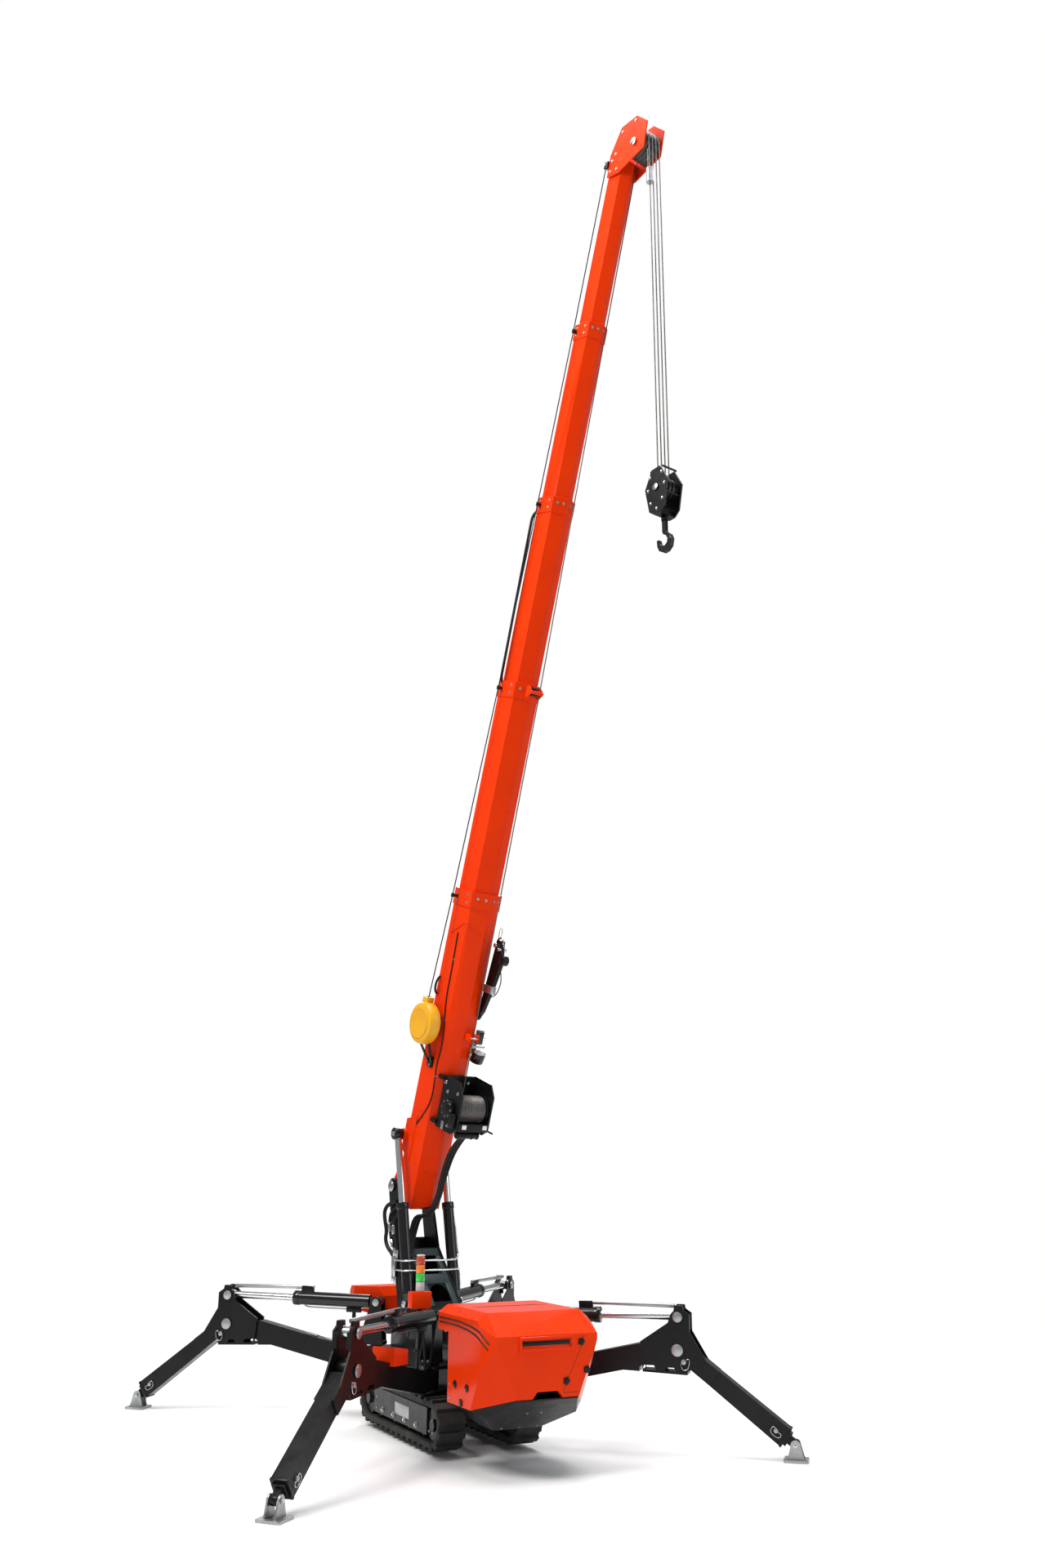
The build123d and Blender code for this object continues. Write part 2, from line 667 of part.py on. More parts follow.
with BuildPart() as limit_weight:
    weight_spot = slew_plane.from_local_coords(Vector(fall_h, fall_top - LIMIT_WEIGHT_DROP, 54))
    with BuildSketch(Plane(origin=weight_spot, z_dir=(0, 0, 1))):
        Circle(28)
        Circle(ROPE_RADIUS + SEAT_GAP, mode=Mode.SUBTRACT)
    extrude(amount=130)
save(limit_weight, "limit_switch_weight")

block_cheek = (
    (fall_h - 45, BLOCK_TOP - 40), (fall_h + 45, BLOCK_TOP - 40), (fall_h + 118, 6560),
    (fall_h + 80, BLOCK_LOW + 40), (fall_h + 30, BLOCK_LOW), (fall_h - 30, BLOCK_LOW),
    (fall_h - 80, BLOCK_LOW + 40), (fall_h - 118, 6560),
)
with BuildPart() as block:
    for near in (-76, 64):
        slab(slew_plane, block_cheek, near, near + 12)
    slab(
        slew_plane,
        ((fall_h - 30, BLOCK_LOW), (fall_h + 30, BLOCK_LOW), (fall_h + 30, BLOCK_LOW + 40), (fall_h - 30, BLOCK_LOW + 40)),
        -76,
        76,
    )
    for middle in (-54, -18, 18, 54):
        disc(slew_plane, (fall_h, 6540), 88, middle - 12, middle + 12)
    disc(slew_plane, (fall_h, 6540), 16, -84, 84)
    shank_plane = Plane(origin=slew_plane.from_local_coords(Vector(fall_h, 0, 0)), z_dir=(0, 0, 1))
    disc(shank_plane, (0, 0), 16 + PIN_CLEARANCE, BLOCK_LOW - 10, BLOCK_LOW + 41, Mode.SUBTRACT)
save(block, "hook_block")

# Hook: shank, swivel nut and a round bowl open on the far side
HOOK_BOWL_Z = HOOK_LOW + 80
hook_outline = (
    (16, 6310), (16, 6210), (30, 6192), (62, 6165), (78, 6125), (66, 6075), (30, 6048), (-14, 6046),
    (-52, 6070), (-70, 6110), (-74, 6160), (-54, 6160), (-44, 6128), (-28, 6104), (6, 6096), (30, 6112),
    (36, 6140), (22, 6166), (-4, 6184), (-16, 6206), (-16, 6310),
)
with BuildPart() as hook:
    slab(slew_plane, [(fall_h + h, z) for h, z in hook_outline], -15, 15)
    disc(shank_plane, (0, 0), 16, 6300, BLOCK_LOW + 62)
    disc(shank_plane, (0, 0), 27, BLOCK_LOW + 41, BLOCK_LOW + 62)
    disc(shank_plane, (0, 0), 26, 6296, BLOCK_LOW - 1)
save(hook, "hook")

# Winch on the boom's underside, its drum across the boom
WINCH_MIDDLE = -45
WINCH_S = 770
WINCH_D = 490
winch_side = (
    on_boom(590, 338), on_boom(990, 338), on_boom(985, 560), on_boom(900, 625), on_boom(640, 625), on_boom(590, 560),
)
with BuildPart() as winch_frame:
    for near in (WINCH_MIDDLE - 150, WINCH_MIDDLE + 138):
        slab(slew_plane, winch_side, near, near + 12)
    slab(slew_plane, (on_boom(600, 560), on_boom(612, 560), on_boom(612, 340), on_boom(600, 340)), -195, 105)
    slab(slew_plane, (on_boom(600, 338), on_boom(990, 338), on_boom(990, 350), on_boom(600, 350)), -195, 105)
    for near in (610, 950):
        slab(cross, ((-120, 129.5), (0, 191), (120, 129.5), (120, 205), (-120, 205)), near, near + 30)
save(winch_frame, "winch_frame")

with BuildPart() as drum:
    winch_centre = on_boom(WINCH_S, WINCH_D)
    for near, far, radius in ((-130, -122, 118), (-122, 122, 92), (122, 130, 118)):
        disc(slew_plane, winch_centre, radius, WINCH_MIDDLE + near, WINCH_MIDDLE + far)
    disc(slew_plane, winch_centre, 20, WINCH_MIDDLE - 138 + SEAT_GAP, WINCH_MIDDLE + 138 - SEAT_GAP)
save(drum, "winch_drum")

with BuildPart() as cable_reel:
    reel_centre = on_boom(1330, 100)
    disc(slew_plane, reel_centre, 165, 168, 290)
    slab(slew_plane, (on_boom(1180, 60), on_boom(1240, 60), on_boom(1240, 160), on_boom(1100, 160)), 132.5, 190)
    slab(slew_plane, (on_boom(1470, 70), on_boom(1530, 80), on_boom(1530, 130), on_boom(1460, 130)), 190, 250)
save(cable_reel, "cable_reel")

with BuildPart() as jib_bracket:
    jib_outline = (
        on_boom(1420, 262), on_boom(1480, 262), on_boom(1760, 300), on_boom(2080, 330),
        on_boom(2080, 400), on_boom(1900, 440), on_boom(1740, 400), on_boom(1500, 320),
    )
    slab(slew_plane, jib_outline, -166, -134)
    slab(slew_plane, (on_boom(1440, 200), on_boom(1520, 200), on_boom(1520, 300), on_boom(1440, 300)), -152, -133)
save(jib_bracket, "hook_stow_bracket")

GUIDE_MIDDLE = 4045
with BuildPart() as rope_guide:
    guide_start, guide_end = GUIDE_MIDDLE - 45, GUIDE_MIDDLE + 45
    guide_base = (
        on_boom(guide_start, 328), on_boom(guide_end, 328), on_boom(guide_end, 342), on_boom(guide_start, 342),
    )
    slab(slew_plane, guide_base, -60, 60)
    guide_ear = (
        on_boom(guide_start, 330), on_boom(guide_end, 330), on_boom(guide_end, 360),
        on_boom(GUIDE_MIDDLE, 410), on_boom(guide_start, 360),
    )
    for near in (-60, 52):
        slab(slew_plane, guide_ear, near, near + 8)
    disc(slew_plane, on_boom(GUIDE_MIDDLE, 380), 14, -60, 60)
save(rope_guide, "rope_guide")

# Outriggers. name, x sign, y sign
CORNERS = (
    ("left_front", -1, -1),
    ("right_front", 1, -1),
    ("left_rear", -1, 1),
    ("right_rear", 1, 1),
)
leg_angle = atan2(FOOT_Z - KNEE_Z, FOOT_R - KNEE_R)
leg_length = hypot(FOOT_R - KNEE_R, FOOT_Z - KNEE_Z)
box_end = leg_length - LEG_BOX_SHORT
extension_start = leg_length - EXTENSION_LENGTH
neck_start = leg_length - EXTENSION_NECK
knee = (KNEE_R, KNEE_Z)
horn = (HORN_R, HORN_Z)
foot = (FOOT_R, FOOT_Z)


def from_point(centre, offsets):
    """The corners at these offsets from a centre."""
    return tuple((centre[0] + right, centre[1] + up) for right, up in offsets)


# The arm between the column's lugs, rising outward, then level below the knee
arm_end = from_point(
    knee,
    ((-387, -143), (-272, -147), (-272, -118), (-217, -91), (-17, -67), (-17, 67), (-127, 31), (-247, 21), (-278, 31)),
)
arm_outline = ((0, 386), (262, 386), *arm_end, (118, 505), (0, 505))
base_pin = (0, BARREL_PIN_Z)
cylinder_angle = atan2(HORN_Z - BARREL_PIN_Z, HORN_R)
for corner, x_sign, y_sign in CORNERS:
    azimuth = atan2(y_sign * sin(radians(LEG_AZIMUTH)), x_sign * cos(radians(LEG_AZIMUTH)))
    spot = (x_sign * COLUMN_X, y_sign * COLUMN_Y)
    leg = upright(*spot, azimuth)
    with BuildPart() as arm:
        with BuildSketch(TOP_VIEW.offset(COLUMN_LOW)):
            with Locations(spot):
                Circle(COLUMN_RADIUS)
        extrude(amount=COLUMN_HIGH - COLUMN_LOW)
        slab(leg, arm_outline, -ARM_HALF, ARM_HALF)
        disc(leg, knee, 69, -ARM_HALF, ARM_HALF)
        # Bracket of the cylinder, on a plate over the column
        slab(leg, beam((0, 0), 0, -64, 142, 548, 572), -50, 50)
        for near in (-48, 34):
            slab(leg, ((-60, 570), (138, 570), (36, BARREL_PIN_Z + 16), (-36, BARREL_PIN_Z + 16)), near, near + 14)
            disc(leg, base_pin, 40, near, near + 14)
        disc(leg, base_pin, 18, -54, 54)
        disc(leg, knee, KNEE_PIN + PIN_CLEARANCE, -100, 100, Mode.SUBTRACT)
    save(arm, f"inner_arm_{corner}")

    with BuildPart() as barrel:
        start_point = leg.from_local_coords(Vector(*along(base_pin, cylinder_angle, 66), 0))
        end_point = leg.from_local_coords(Vector(*along(base_pin, cylinder_angle, LEG_BARREL_END), 0))
        bore_point = leg.from_local_coords(Vector(*along(base_pin, cylinder_angle, 120), 0))
        gland_point = leg.from_local_coords(Vector(*along(base_pin, cylinder_angle, LEG_BARREL_END - GLAND), 0))
        bar(start_point, end_point, LEG_BARREL_RADIUS)
        slab(leg, beam(base_pin, cylinder_angle, 0, 80, -34, 34), -28, 28)
        disc(leg, base_pin, 38, -28, 28)
        disc(leg, base_pin, 18 + PIN_CLEARANCE, -60, 60, Mode.SUBTRACT)
        bar(bore_point, gland_point, LEG_ROD_RADIUS + CYLINDER_CLEARANCE, Mode.SUBTRACT)
        bar(bore_point, end_point, LEG_ROD_RADIUS + SLIDE_GAP, Mode.SUBTRACT)
    save(barrel, f"leg_cylinder_barrel_{corner}")

    with BuildPart() as rod:
        inner_point = leg.from_local_coords(Vector(*along(base_pin, cylinder_angle, 500), 0))
        eye_point = leg.from_local_coords(Vector(*along(base_pin, cylinder_angle, HORN_R - 20), 0))
        bar(inner_point, eye_point, LEG_ROD_RADIUS)
        disc(leg, horn, 40, -24, 24)
    save(rod, f"leg_cylinder_rod_{corner}")

    plate_inner = ARM_HALF + KNEE_GAP
    plate_outer = plate_inner + KNEE_PLATE
    with BuildPart() as outer:
        heel = along(knee, leg_angle, 128, -LEG_ROOT_LOW)
        sole_end = heel[0] - 10
        plate_outline = (
            *from_point(knee, ((-261, 47),)),
            *from_point(horn, ((-70, -40), (-47, 21), (-17, 48), (37, 48), (82, 18), (82, -97))),
            along(knee, leg_angle, 196, LEG_DEPTH / 2), along(knee, leg_angle, 300, LEG_DEPTH / 2),
            along(knee, leg_angle, 300, -LEG_ROOT_LOW - 1), heel, (sole_end, KNEE_Z - 149),
            *from_point(knee, ((-7, -147), (-27, -114), (-77, -114), (-97, -144), (-147, -142), (-167, -103))),
            *from_point(knee, ((-237, -103), (-247, -138))),
        )
        for near in (-plate_outer, plate_inner):
            slab(leg, plate_outline, near, near + KNEE_PLATE)
        half = LEG_DEPTH / 2
        leg_sides = (
            along(knee, leg_angle, LEG_BOX_START, -LEG_ROOT_LOW), along(knee, leg_angle, 150, -LEG_ROOT_LOW),
            along(knee, leg_angle, box_end, -half), along(knee, leg_angle, box_end, half),
            along(knee, leg_angle, LEG_BOX_START, half),
        )
        slab(leg, leg_sides, -plate_inner, plate_inner)
        bore = LEG_BORE_DEPTH / 2
        slab(
            leg,
            beam(knee, leg_angle, extension_start - 30, box_end - MOUTH, -bore, bore),
            -LEG_BORE_HALF,
            LEG_BORE_HALF,
            Mode.SUBTRACT,
        )
        snug = EXTENSION_DEPTH / 2 + SLIDE_GAP
        slab(
            leg,
            beam(knee, leg_angle, box_end - MOUTH, box_end + 10, -snug, snug),
            -EXTENSION_HALF - SLIDE_GAP,
            EXTENSION_HALF + SLIDE_GAP,
            Mode.SUBTRACT,
        )
        # Flanges over and behind the horn, open for the rod's eye, and the foot plate under the knee
        for near, far in ((-plate_outer, -EYE_SLOT), (EYE_SLOT, plate_outer)):
            slab(leg, from_point(horn, ((-27, 40), (41, 40), (35, 73), (-21, 73))), near, far)
        for near, far in ((-plate_inner - 4, -EYE_SLOT), (EYE_SLOT, plate_inner + 4)):
            slab(leg, from_point(horn, ((69, -82), (81, -82), (81, 14), (69, 14))), near, far)
        sole = (
            (KNEE_R - 247, KNEE_Z - 146), (sole_end, KNEE_Z - 157),
            (sole_end, KNEE_Z - 141), (KNEE_R - 247, KNEE_Z - 130),
        )
        slab(leg, sole, -plate_outer, plate_outer)
        disc(leg, knee, KNEE_PIN, -plate_outer - 8, plate_outer + 8)
        for near in (-plate_outer - 8, plate_outer):
            disc(leg, horn, 22, near, near + 8)
    save(outer, f"outer_leg_{corner}")

    with BuildPart() as extension:
        half = EXTENSION_DEPTH / 2
        slab(
            leg,
            beam(knee, leg_angle, extension_start, neck_start, -half, half),
            -EXTENSION_HALF,
            EXTENSION_HALF,
        )
        slab(leg, beam(knee, leg_angle, neck_start, leg_length, -28, 28), -22, 22)
        disc(leg, foot, 30, -22, 22)
        disc(leg, foot, 12 + PIN_CLEARANCE, -60, 60, Mode.SUBTRACT)
    save(extension, f"leg_extension_{corner}")

    with BuildPart() as pad:
        pad_plane = Plane(origin=leg.from_local_coords(Vector(FOOT_R, 0, 0)), x_dir=leg.x_dir, z_dir=(0, 0, 1))
        with BuildSketch(pad_plane):
            RectangleRounded(PAD_SIDE, PAD_SIDE, 14)
        extrude(amount=PAD_THICK)
        for near in (-40, 28):
            slab(leg, ((FOOT_R - 58, 8), (FOOT_R + 58, 8), (FOOT_R + 32, FOOT_Z), (FOOT_R - 32, FOOT_Z)), near, near + 12)
            disc(leg, foot, 32, near, near + 12)
        disc(leg, foot, 12, -46, 46)
    save(pad, f"foot_pad_{corner}")

# Guard: a folded sheet box over the left front arm's back, open below
guard_azimuth = atan2(-sin(radians(LEG_AZIMUTH)), -cos(radians(LEG_AZIMUTH)))
guard_plane = upright(-COLUMN_X, -COLUMN_Y, guard_azimuth)
with BuildPart() as guard:
    slab(guard_plane, ((565, 612), (770, 622), (770, 738), (565, 706)), -GUARD_HALF, GUARD_HALF)
    inner_half = GUARD_HALF - GUARD_SHEET
    slab(guard_plane, ((571, 560), (764, 560), (764, 732), (571, 700)), -inner_half, inner_half, Mode.SUBTRACT)
    slab(guard_plane, arm_outline, -ARM_HALF, ARM_HALF, Mode.SUBTRACT)
save(guard, "arm_guard")
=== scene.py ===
"""Studio picture of a spider crane: materials, fittings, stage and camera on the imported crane."""
import json
from math import atan2, cos, pi, radians, sin

import bpy
from mathutils import Matrix, Vector

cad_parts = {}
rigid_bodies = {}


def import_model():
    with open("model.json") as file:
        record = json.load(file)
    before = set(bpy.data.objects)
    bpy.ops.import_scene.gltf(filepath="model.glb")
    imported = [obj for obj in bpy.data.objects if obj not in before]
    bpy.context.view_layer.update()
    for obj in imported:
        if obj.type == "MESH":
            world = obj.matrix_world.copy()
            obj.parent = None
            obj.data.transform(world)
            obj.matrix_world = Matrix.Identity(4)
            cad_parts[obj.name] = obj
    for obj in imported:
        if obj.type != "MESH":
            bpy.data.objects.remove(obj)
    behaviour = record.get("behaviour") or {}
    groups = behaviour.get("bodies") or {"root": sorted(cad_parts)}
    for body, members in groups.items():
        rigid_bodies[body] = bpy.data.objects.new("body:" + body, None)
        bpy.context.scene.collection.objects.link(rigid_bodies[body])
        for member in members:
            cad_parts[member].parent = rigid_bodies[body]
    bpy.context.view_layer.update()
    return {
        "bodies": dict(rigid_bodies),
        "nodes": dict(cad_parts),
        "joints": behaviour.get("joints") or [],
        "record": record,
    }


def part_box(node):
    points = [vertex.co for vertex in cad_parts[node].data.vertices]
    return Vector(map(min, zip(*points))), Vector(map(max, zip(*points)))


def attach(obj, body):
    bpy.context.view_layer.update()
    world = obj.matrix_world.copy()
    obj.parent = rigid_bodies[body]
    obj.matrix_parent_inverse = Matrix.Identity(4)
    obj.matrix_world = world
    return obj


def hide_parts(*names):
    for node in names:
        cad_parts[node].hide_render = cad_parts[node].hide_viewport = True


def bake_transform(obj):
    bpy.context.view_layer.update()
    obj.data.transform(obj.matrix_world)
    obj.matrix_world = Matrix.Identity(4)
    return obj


bl_info = {
    "name": "Spider crane looks",
    "version": (1, 0, 0),
    "blender": (4, 5, 0),
    "location": "3D View > Sidebar > Spider Crane",
    "description": "Adds the fittings, materials, studio and camera of a spider crane",
    "category": "Object",
}

# Places ------------------------------------------------------------------------------------

MIDDLE_Y = 0.371
TRUE_UP = Vector((0, 0, 1))


def upright(x, y, angle):
    """An upright plane: where it stands, the way it runs, and its sideways normal."""
    return (
        Vector((x, y + MIDDLE_Y, 0)),
        Vector((cos(angle), sin(angle), 0)),
        Vector((sin(angle), -cos(angle), 0)),
    )


SLEW = upright(-0.008, 0.050, radians(-79.8))
BOOM_TILT = radians(71.6)
BOOM_RUN = SLEW[1] * cos(BOOM_TILT) + TRUE_UP * sin(BOOM_TILT)
BOOM_DROP = SLEW[1] * sin(BOOM_TILT) - TRUE_UP * cos(BOOM_TILT)
LEFTWARD = SLEW[2]
# Pins in the slewing plane: reach and height
FOOT_PIN = (-0.423, 1.715)
LIFT_BASE = (-0.052, 0.878)
LIFT_TOP = (-0.288, 2.113)
LIFT_SIDE = 0.210
LIFT_LEAN = 0.191
# Centres on the boom: distance and drop
WINCH = (0.770, 0.490)
WINCH_SIDE = -0.045
REEL = (1.330, 0.100)
SHEAVES = (8.500, 0.365)
FALL_SIDES = (-0.054, -0.018, 0.018, 0.054)
FALL_RADIUS = 0.005
BLOCK_PIN_HEIGHT = 6.540
# The boom's sections: section, end of its collar, width, side height
COLLARS = (
    (1, 2.420, 0.265, 0.246), (2, 4.110, 0.235, 0.223), (3, 5.620, 0.205, 0.200),
    (4, 7.060, 0.175, 0.177),
)
COLLAR_SKIN = 0.009
SECTION_DROP = 0.145
BOOM_BODIES = ("boom_base", "boom_2", "boom_3", "boom_4", "boom_5")
# Ways of a block's third and first sides on the boom
SIDE_ON = (LEFTWARD, BOOM_RUN)
END_ON = (BOOM_RUN, BOOM_DROP)
DROP_ON = (BOOM_DROP, BOOM_RUN)
# Pins in an outrigger's plane: reach and height
KNEE_PIN = (1.257, 0.659)
HORN_PIN = (1.263, 0.872)
FOOT_BOLT = (2.025, 0.100)
ARM_PIN_HEIGHT = 0.852
GUARDED_CORNER = "left_front"
# Outrigger columns, from the middle, and the angle that the outriggers spread at
COLUMN_X = 0.282
COLUMN_Y = 0.554
LEG_SPREAD = radians(42.3)
# corner name, x sign, y sign
CORNERS = (
    ("left_front", -1, -1),
    ("right_front", 1, -1),
    ("left_rear", -1, 1),
    ("right_rear", 1, 1),
)


def in_plane(plane, reach, height, side=0.0):
    """The point at a reach, height and sideways distance in an upright plane."""
    return plane[0] + plane[1] * reach + plane[2] * side + TRUE_UP * height


def on_boom(distance, drop, side=0.0):
    """The point at a distance along the boom, a drop below its foot pin's line, and to its left."""
    pin = in_plane(SLEW, *FOOT_PIN)
    return pin + BOOM_RUN * distance + BOOM_DROP * drop + LEFTWARD * side


def leg_plane(x_sign, y_sign):
    """The upright plane of one outrigger."""
    angle = atan2(y_sign * sin(LEG_SPREAD), x_sign * cos(LEG_SPREAD))
    return upright(x_sign * COLUMN_X, y_sign * COLUMN_Y, angle)


CAMERA_SPOT = Vector((-4.142, -9.250, 1.848))
CAMERA_AHEAD = Vector((0.428, 0.856, 0.290)).normalized()
NEAR_RIGHT = Vector((0.894, -0.449, 0.006))
CAMERA_RIGHT = (NEAR_RIGHT - CAMERA_AHEAD * NEAR_RIGHT.dot(CAMERA_AHEAD)).normalized()
CAMERA_UP = CAMERA_RIGHT.cross(CAMERA_AHEAD)
FOCUS_PIXELS = 1581.8
PHOTO_MIDDLE = (639.5, 952.6)
LENS_SHIFT = -0.0039
SENSOR_MM = 36


def onto(node_name, start, way):
    """Where a line from a start meets a CAD node, and which way the surface faces there."""
    way = Vector(way).normalized()
    hit, place, facing, _ = FRAME["nodes"][node_name].ray_cast(Vector(start), way)
    if not hit:
        raise RuntimeError(f"a line from {tuple(start)} misses {node_name}")
    return place, facing if facing.dot(way) < 0 else -facing


def seen(node_name, across, down):
    """Where a pixel of the photograph falls on a CAD node, and which way its surface faces."""
    ray = (CAMERA_AHEAD * FOCUS_PIXELS + CAMERA_RIGHT * (across - PHOTO_MIDDLE[0])
           + CAMERA_UP * (PHOTO_MIDDLE[1] - down))
    return onto(node_name, CAMERA_SPOT, ray)


def all_seen(node_name, pixels):
    """Where several pixels fall on a CAD node."""
    return [seen(node_name, across, down) for across, down in pixels]


def mirrored(places):
    """These (point, direction) places, and the same on the crane's other side."""
    return places + [(Vector((-point.x, point.y, point.z)), Vector((-way.x, way.y, way.z)))
                     for point, way in places]


def straight(start, end, parts):
    """Points that part a straight run evenly."""
    return [start + (end - start) * share / parts for share in range(parts + 1)]


def stepped(corners, parts):
    """Points that part each run between corners evenly, without the last corner."""
    return [[a + (b - a) * share / parts for a, b in zip(start, end)]
            for start, end in zip(corners, corners[1:]) for share in range(parts)]


def on_side(spots, side):
    """Places, by distance and drop, on the boom's face at one side, and the way out of it."""
    return [(on_boom(*spot, side), LEFTWARD if side > 0 else -LEFTWARD) for spot in spots]


def outward(turn):
    """The direction across the boom's side at an angle from its run."""
    return BOOM_RUN * cos(turn) + BOOM_DROP * sin(turn)


def node_box(node_name):
    """A CAD node's low corner, high corner and middle."""
    low, high = [Vector(corner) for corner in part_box(node_name)]
    return low, high, (low + high) / 2


# Modelling helpers ---------------------------------------------------------------------------

EDGE_ANGLE = radians(32)
SMOOTH_ANGLE = radians(35)
NODE_EDGE_ANGLE = radians(18)


def add_object(name, data):
    """A new object in the scene."""
    made = bpy.data.objects.new(name, data)
    bpy.context.scene.collection.objects.link(made)
    return made


def clear_selection():
    """Leave edit mode and select nothing."""
    if bpy.context.object and bpy.context.object.mode != "OBJECT":
        bpy.ops.object.mode_set(mode="OBJECT")
    bpy.ops.object.select_all(action="DESELECT")


def take(piece):
    """Select one object and make it active."""
    clear_selection()
    piece.select_set(True)
    bpy.context.view_layer.objects.active = piece


def apply_all(piece):
    """Apply every modifier of a piece."""
    take(piece)
    for modifier in list(piece.modifiers):
        bpy.ops.object.modifier_apply(modifier=modifier.name)


def soften(piece, width, segments=2):
    """Bevel the hard edges of a piece, and shade it smooth by angle."""
    bevel = piece.modifiers.new("edges", "BEVEL")
    bevel.width = width
    bevel.segments = segments
    bevel.limit_method = "ANGLE"
    bevel.angle_limit = EDGE_ANGLE
    apply_all(piece)
    bpy.ops.object.shade_smooth_by_angle(angle=SMOOTH_ANGLE)


# The material slot and the finish of each coat
COATS = {
    "orange": ("orange_paint", "Orange paint"),
    "roller ear": ("black_paint", "Orange paint"),
    "black": ("black_paint", "Black paint"),
    "gloss": ("black_paint", "Gloss black"),
    "cylinder": ("cylinder_paint", "Gloss black"),
    "chrome": ("rod_chrome", "Chrome"),
    "zinc": ("galvanised", "Galvanised"),
    "bright": ("galvanised", "Bright steel"),
    "grey": ("galvanised", "Grey paint"),
    # blue: the painted sky reflection on the post's front web
    "blue": ("galvanised", "Painted sky reflection"),
    "rubber": ("black_paint", "Rubber hose"),
    "cable": ("steel_rope", "Rubber hose"),
    "rope": ("steel_rope", "Steel rope"),
    "yellow": ("yellow_plastic", "Yellow plastic"),
    "sheave": ("sheave_plastic", "Sheave plastic"),
    "lamp white": ("lamp_plastic", "Lamp white"),
    "lamp green": ("lamp_plastic", "Lamp green"),
    "lamp amber": ("lamp_plastic", "Lamp amber"),
    "lamp red": ("lamp_plastic", "Lamp red"),
}


def settle(piece, name, body, coat):
    """Bake a piece's place into its mesh, name it, and let it ride with its body and coat."""
    slot, finish = COATS[coat]
    take(piece)
    bpy.ops.object.transform_apply(location=True, rotation=True, scale=True)
    piece.name = name.replace(" ", "_").lower()
    piece.data.materials.clear()
    piece.data.materials.append(bpy.data.materials[finish])
    if body:
        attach(piece, body)
    return piece


def join(pieces):
    """Join pieces into the first of them."""
    clear_selection()
    for piece in pieces:
        piece.select_set(True)
    bpy.context.view_layer.objects.active = pieces[0]
    if len(pieces) > 1:
        bpy.ops.object.join()
    return pieces[0]


def aim(along, across=None):
    """The rotation that turns +Z along a direction, and +X as near as it can to another."""
    up = Vector(along).normalized()
    if across is None:
        across = Vector((1, 0, 0)) if abs(up.x) < 0.9 else Vector((0, 1, 0))
    side = Vector(across)
    side = (side - up * side.dot(up)).normalized()
    return Matrix((side, up.cross(side), up)).transposed().to_euler()


def round_bar(start, end, radius, rounding=0.0015, sides=32, step=None):
    """A round bar between two points, with bevelled rims. A step insets and pushes its end."""
    start, end = Vector(start), Vector(end)
    clear_selection()
    bpy.ops.mesh.primitive_cylinder_add(
        vertices=sides, radius=radius, depth=(end - start).length,
        location=(start + end) / 2, rotation=aim(end - start),
    )
    bar = bpy.context.object
    if step:
        inset, push = step
        bpy.ops.object.mode_set(mode="EDIT")
        bpy.ops.mesh.select_all(action="DESELECT")
        bpy.ops.object.mode_set(mode="OBJECT")
        for face in bar.data.polygons:
            face.select = len(face.vertices) > 4 and face.normal.z > 0.9
        bpy.ops.object.mode_set(mode="EDIT")
        bpy.ops.mesh.inset(thickness=inset)
        bpy.ops.mesh.extrude_region_move(TRANSFORM_OT_translate={
            "value": (end - start).normalized() * push, "orient_type": "GLOBAL",
        })
        bpy.ops.object.mode_set(mode="OBJECT")
    soften(bar, rounding)
    return bar


def block(centre, size, along=TRUE_UP, across=None, rounding=0.003):
    """A bevelled block of a size, its third side along a direction."""
    clear_selection()
    bpy.ops.mesh.primitive_cube_add(size=1, location=centre, rotation=aim(along, across))
    cube = bpy.context.object
    cube.scale = size
    bpy.ops.object.transform_apply(location=False, rotation=False, scale=True)
    soften(cube, rounding)
    return cube


def hose(points, radius, name, body, coat, resolution=5):
    """A smooth round hose or cable through points, as a mesh. With no body it is left unattached.
    """
    data = bpy.data.curves.new(name, "CURVE")
    data.dimensions = "3D"
    line = data.splines.new("NURBS")
    line.points.add(len(points) - 1)
    for spot, point in zip(line.points, points):
        spot.co = (*Vector(point), 1)
    line.order_u = 3
    line.use_endpoint_u = True
    line.resolution_u = resolution
    data.bevel_depth = radius
    data.bevel_resolution = 3
    data.use_fill_caps = True
    take(add_object(name, data))
    bpy.ops.object.convert(target="MESH")
    piece = bpy.context.object
    bpy.ops.object.shade_smooth()
    return settle(piece, name, body, coat)


def bolt_pattern(radius, height):
    """One hexagon bolt with its washer, standing along +Z at the origin."""
    parts = []
    for vertices, wide, tall, middle, edge, segments in (
        (24, 1.35, 0.4, 0.2, 0.08, 1), (6, 1.0, 1.0, 0.9, 0.16, 2),
    ):
        clear_selection()
        bpy.ops.mesh.primitive_cylinder_add(
            vertices=vertices, radius=radius * wide, depth=height * tall,
            location=(0, 0, height * middle))
        parts.append(bpy.context.object)
        soften(parts[-1], height * edge, segments)
    return join(parts)


def stand_copies(pattern, name, places, body, coat):
    """Copies of a pattern, one at each (point, direction), joined as one piece."""
    copies = []
    for point, direction in places:
        copy = add_object(name, pattern.data.copy())
        copy.rotation_euler = aim(direction)
        copy.location = Vector(point)
        take(copy)
        bpy.ops.object.transform_apply(location=True, rotation=True, scale=True)
        copies.append(copy)
    piece = join(copies)
    bpy.data.objects.remove(pattern)
    return settle(piece, name, body, coat)


def bolts(name, places, coat, radius, height, body="boom_base"):
    """Bolts at places, as one piece."""
    stand_copies(bolt_pattern(radius, height), name, places, body, coat)


def cap(name, place, way, height, radius, body, coat, sides=32, rounding=0.002,
        step=(0.008, 0.003)):
    """A stepped round cap that stands on a place."""
    settle(round_bar(place, place + way * height, radius, rounding, sides, step), name, body, coat)


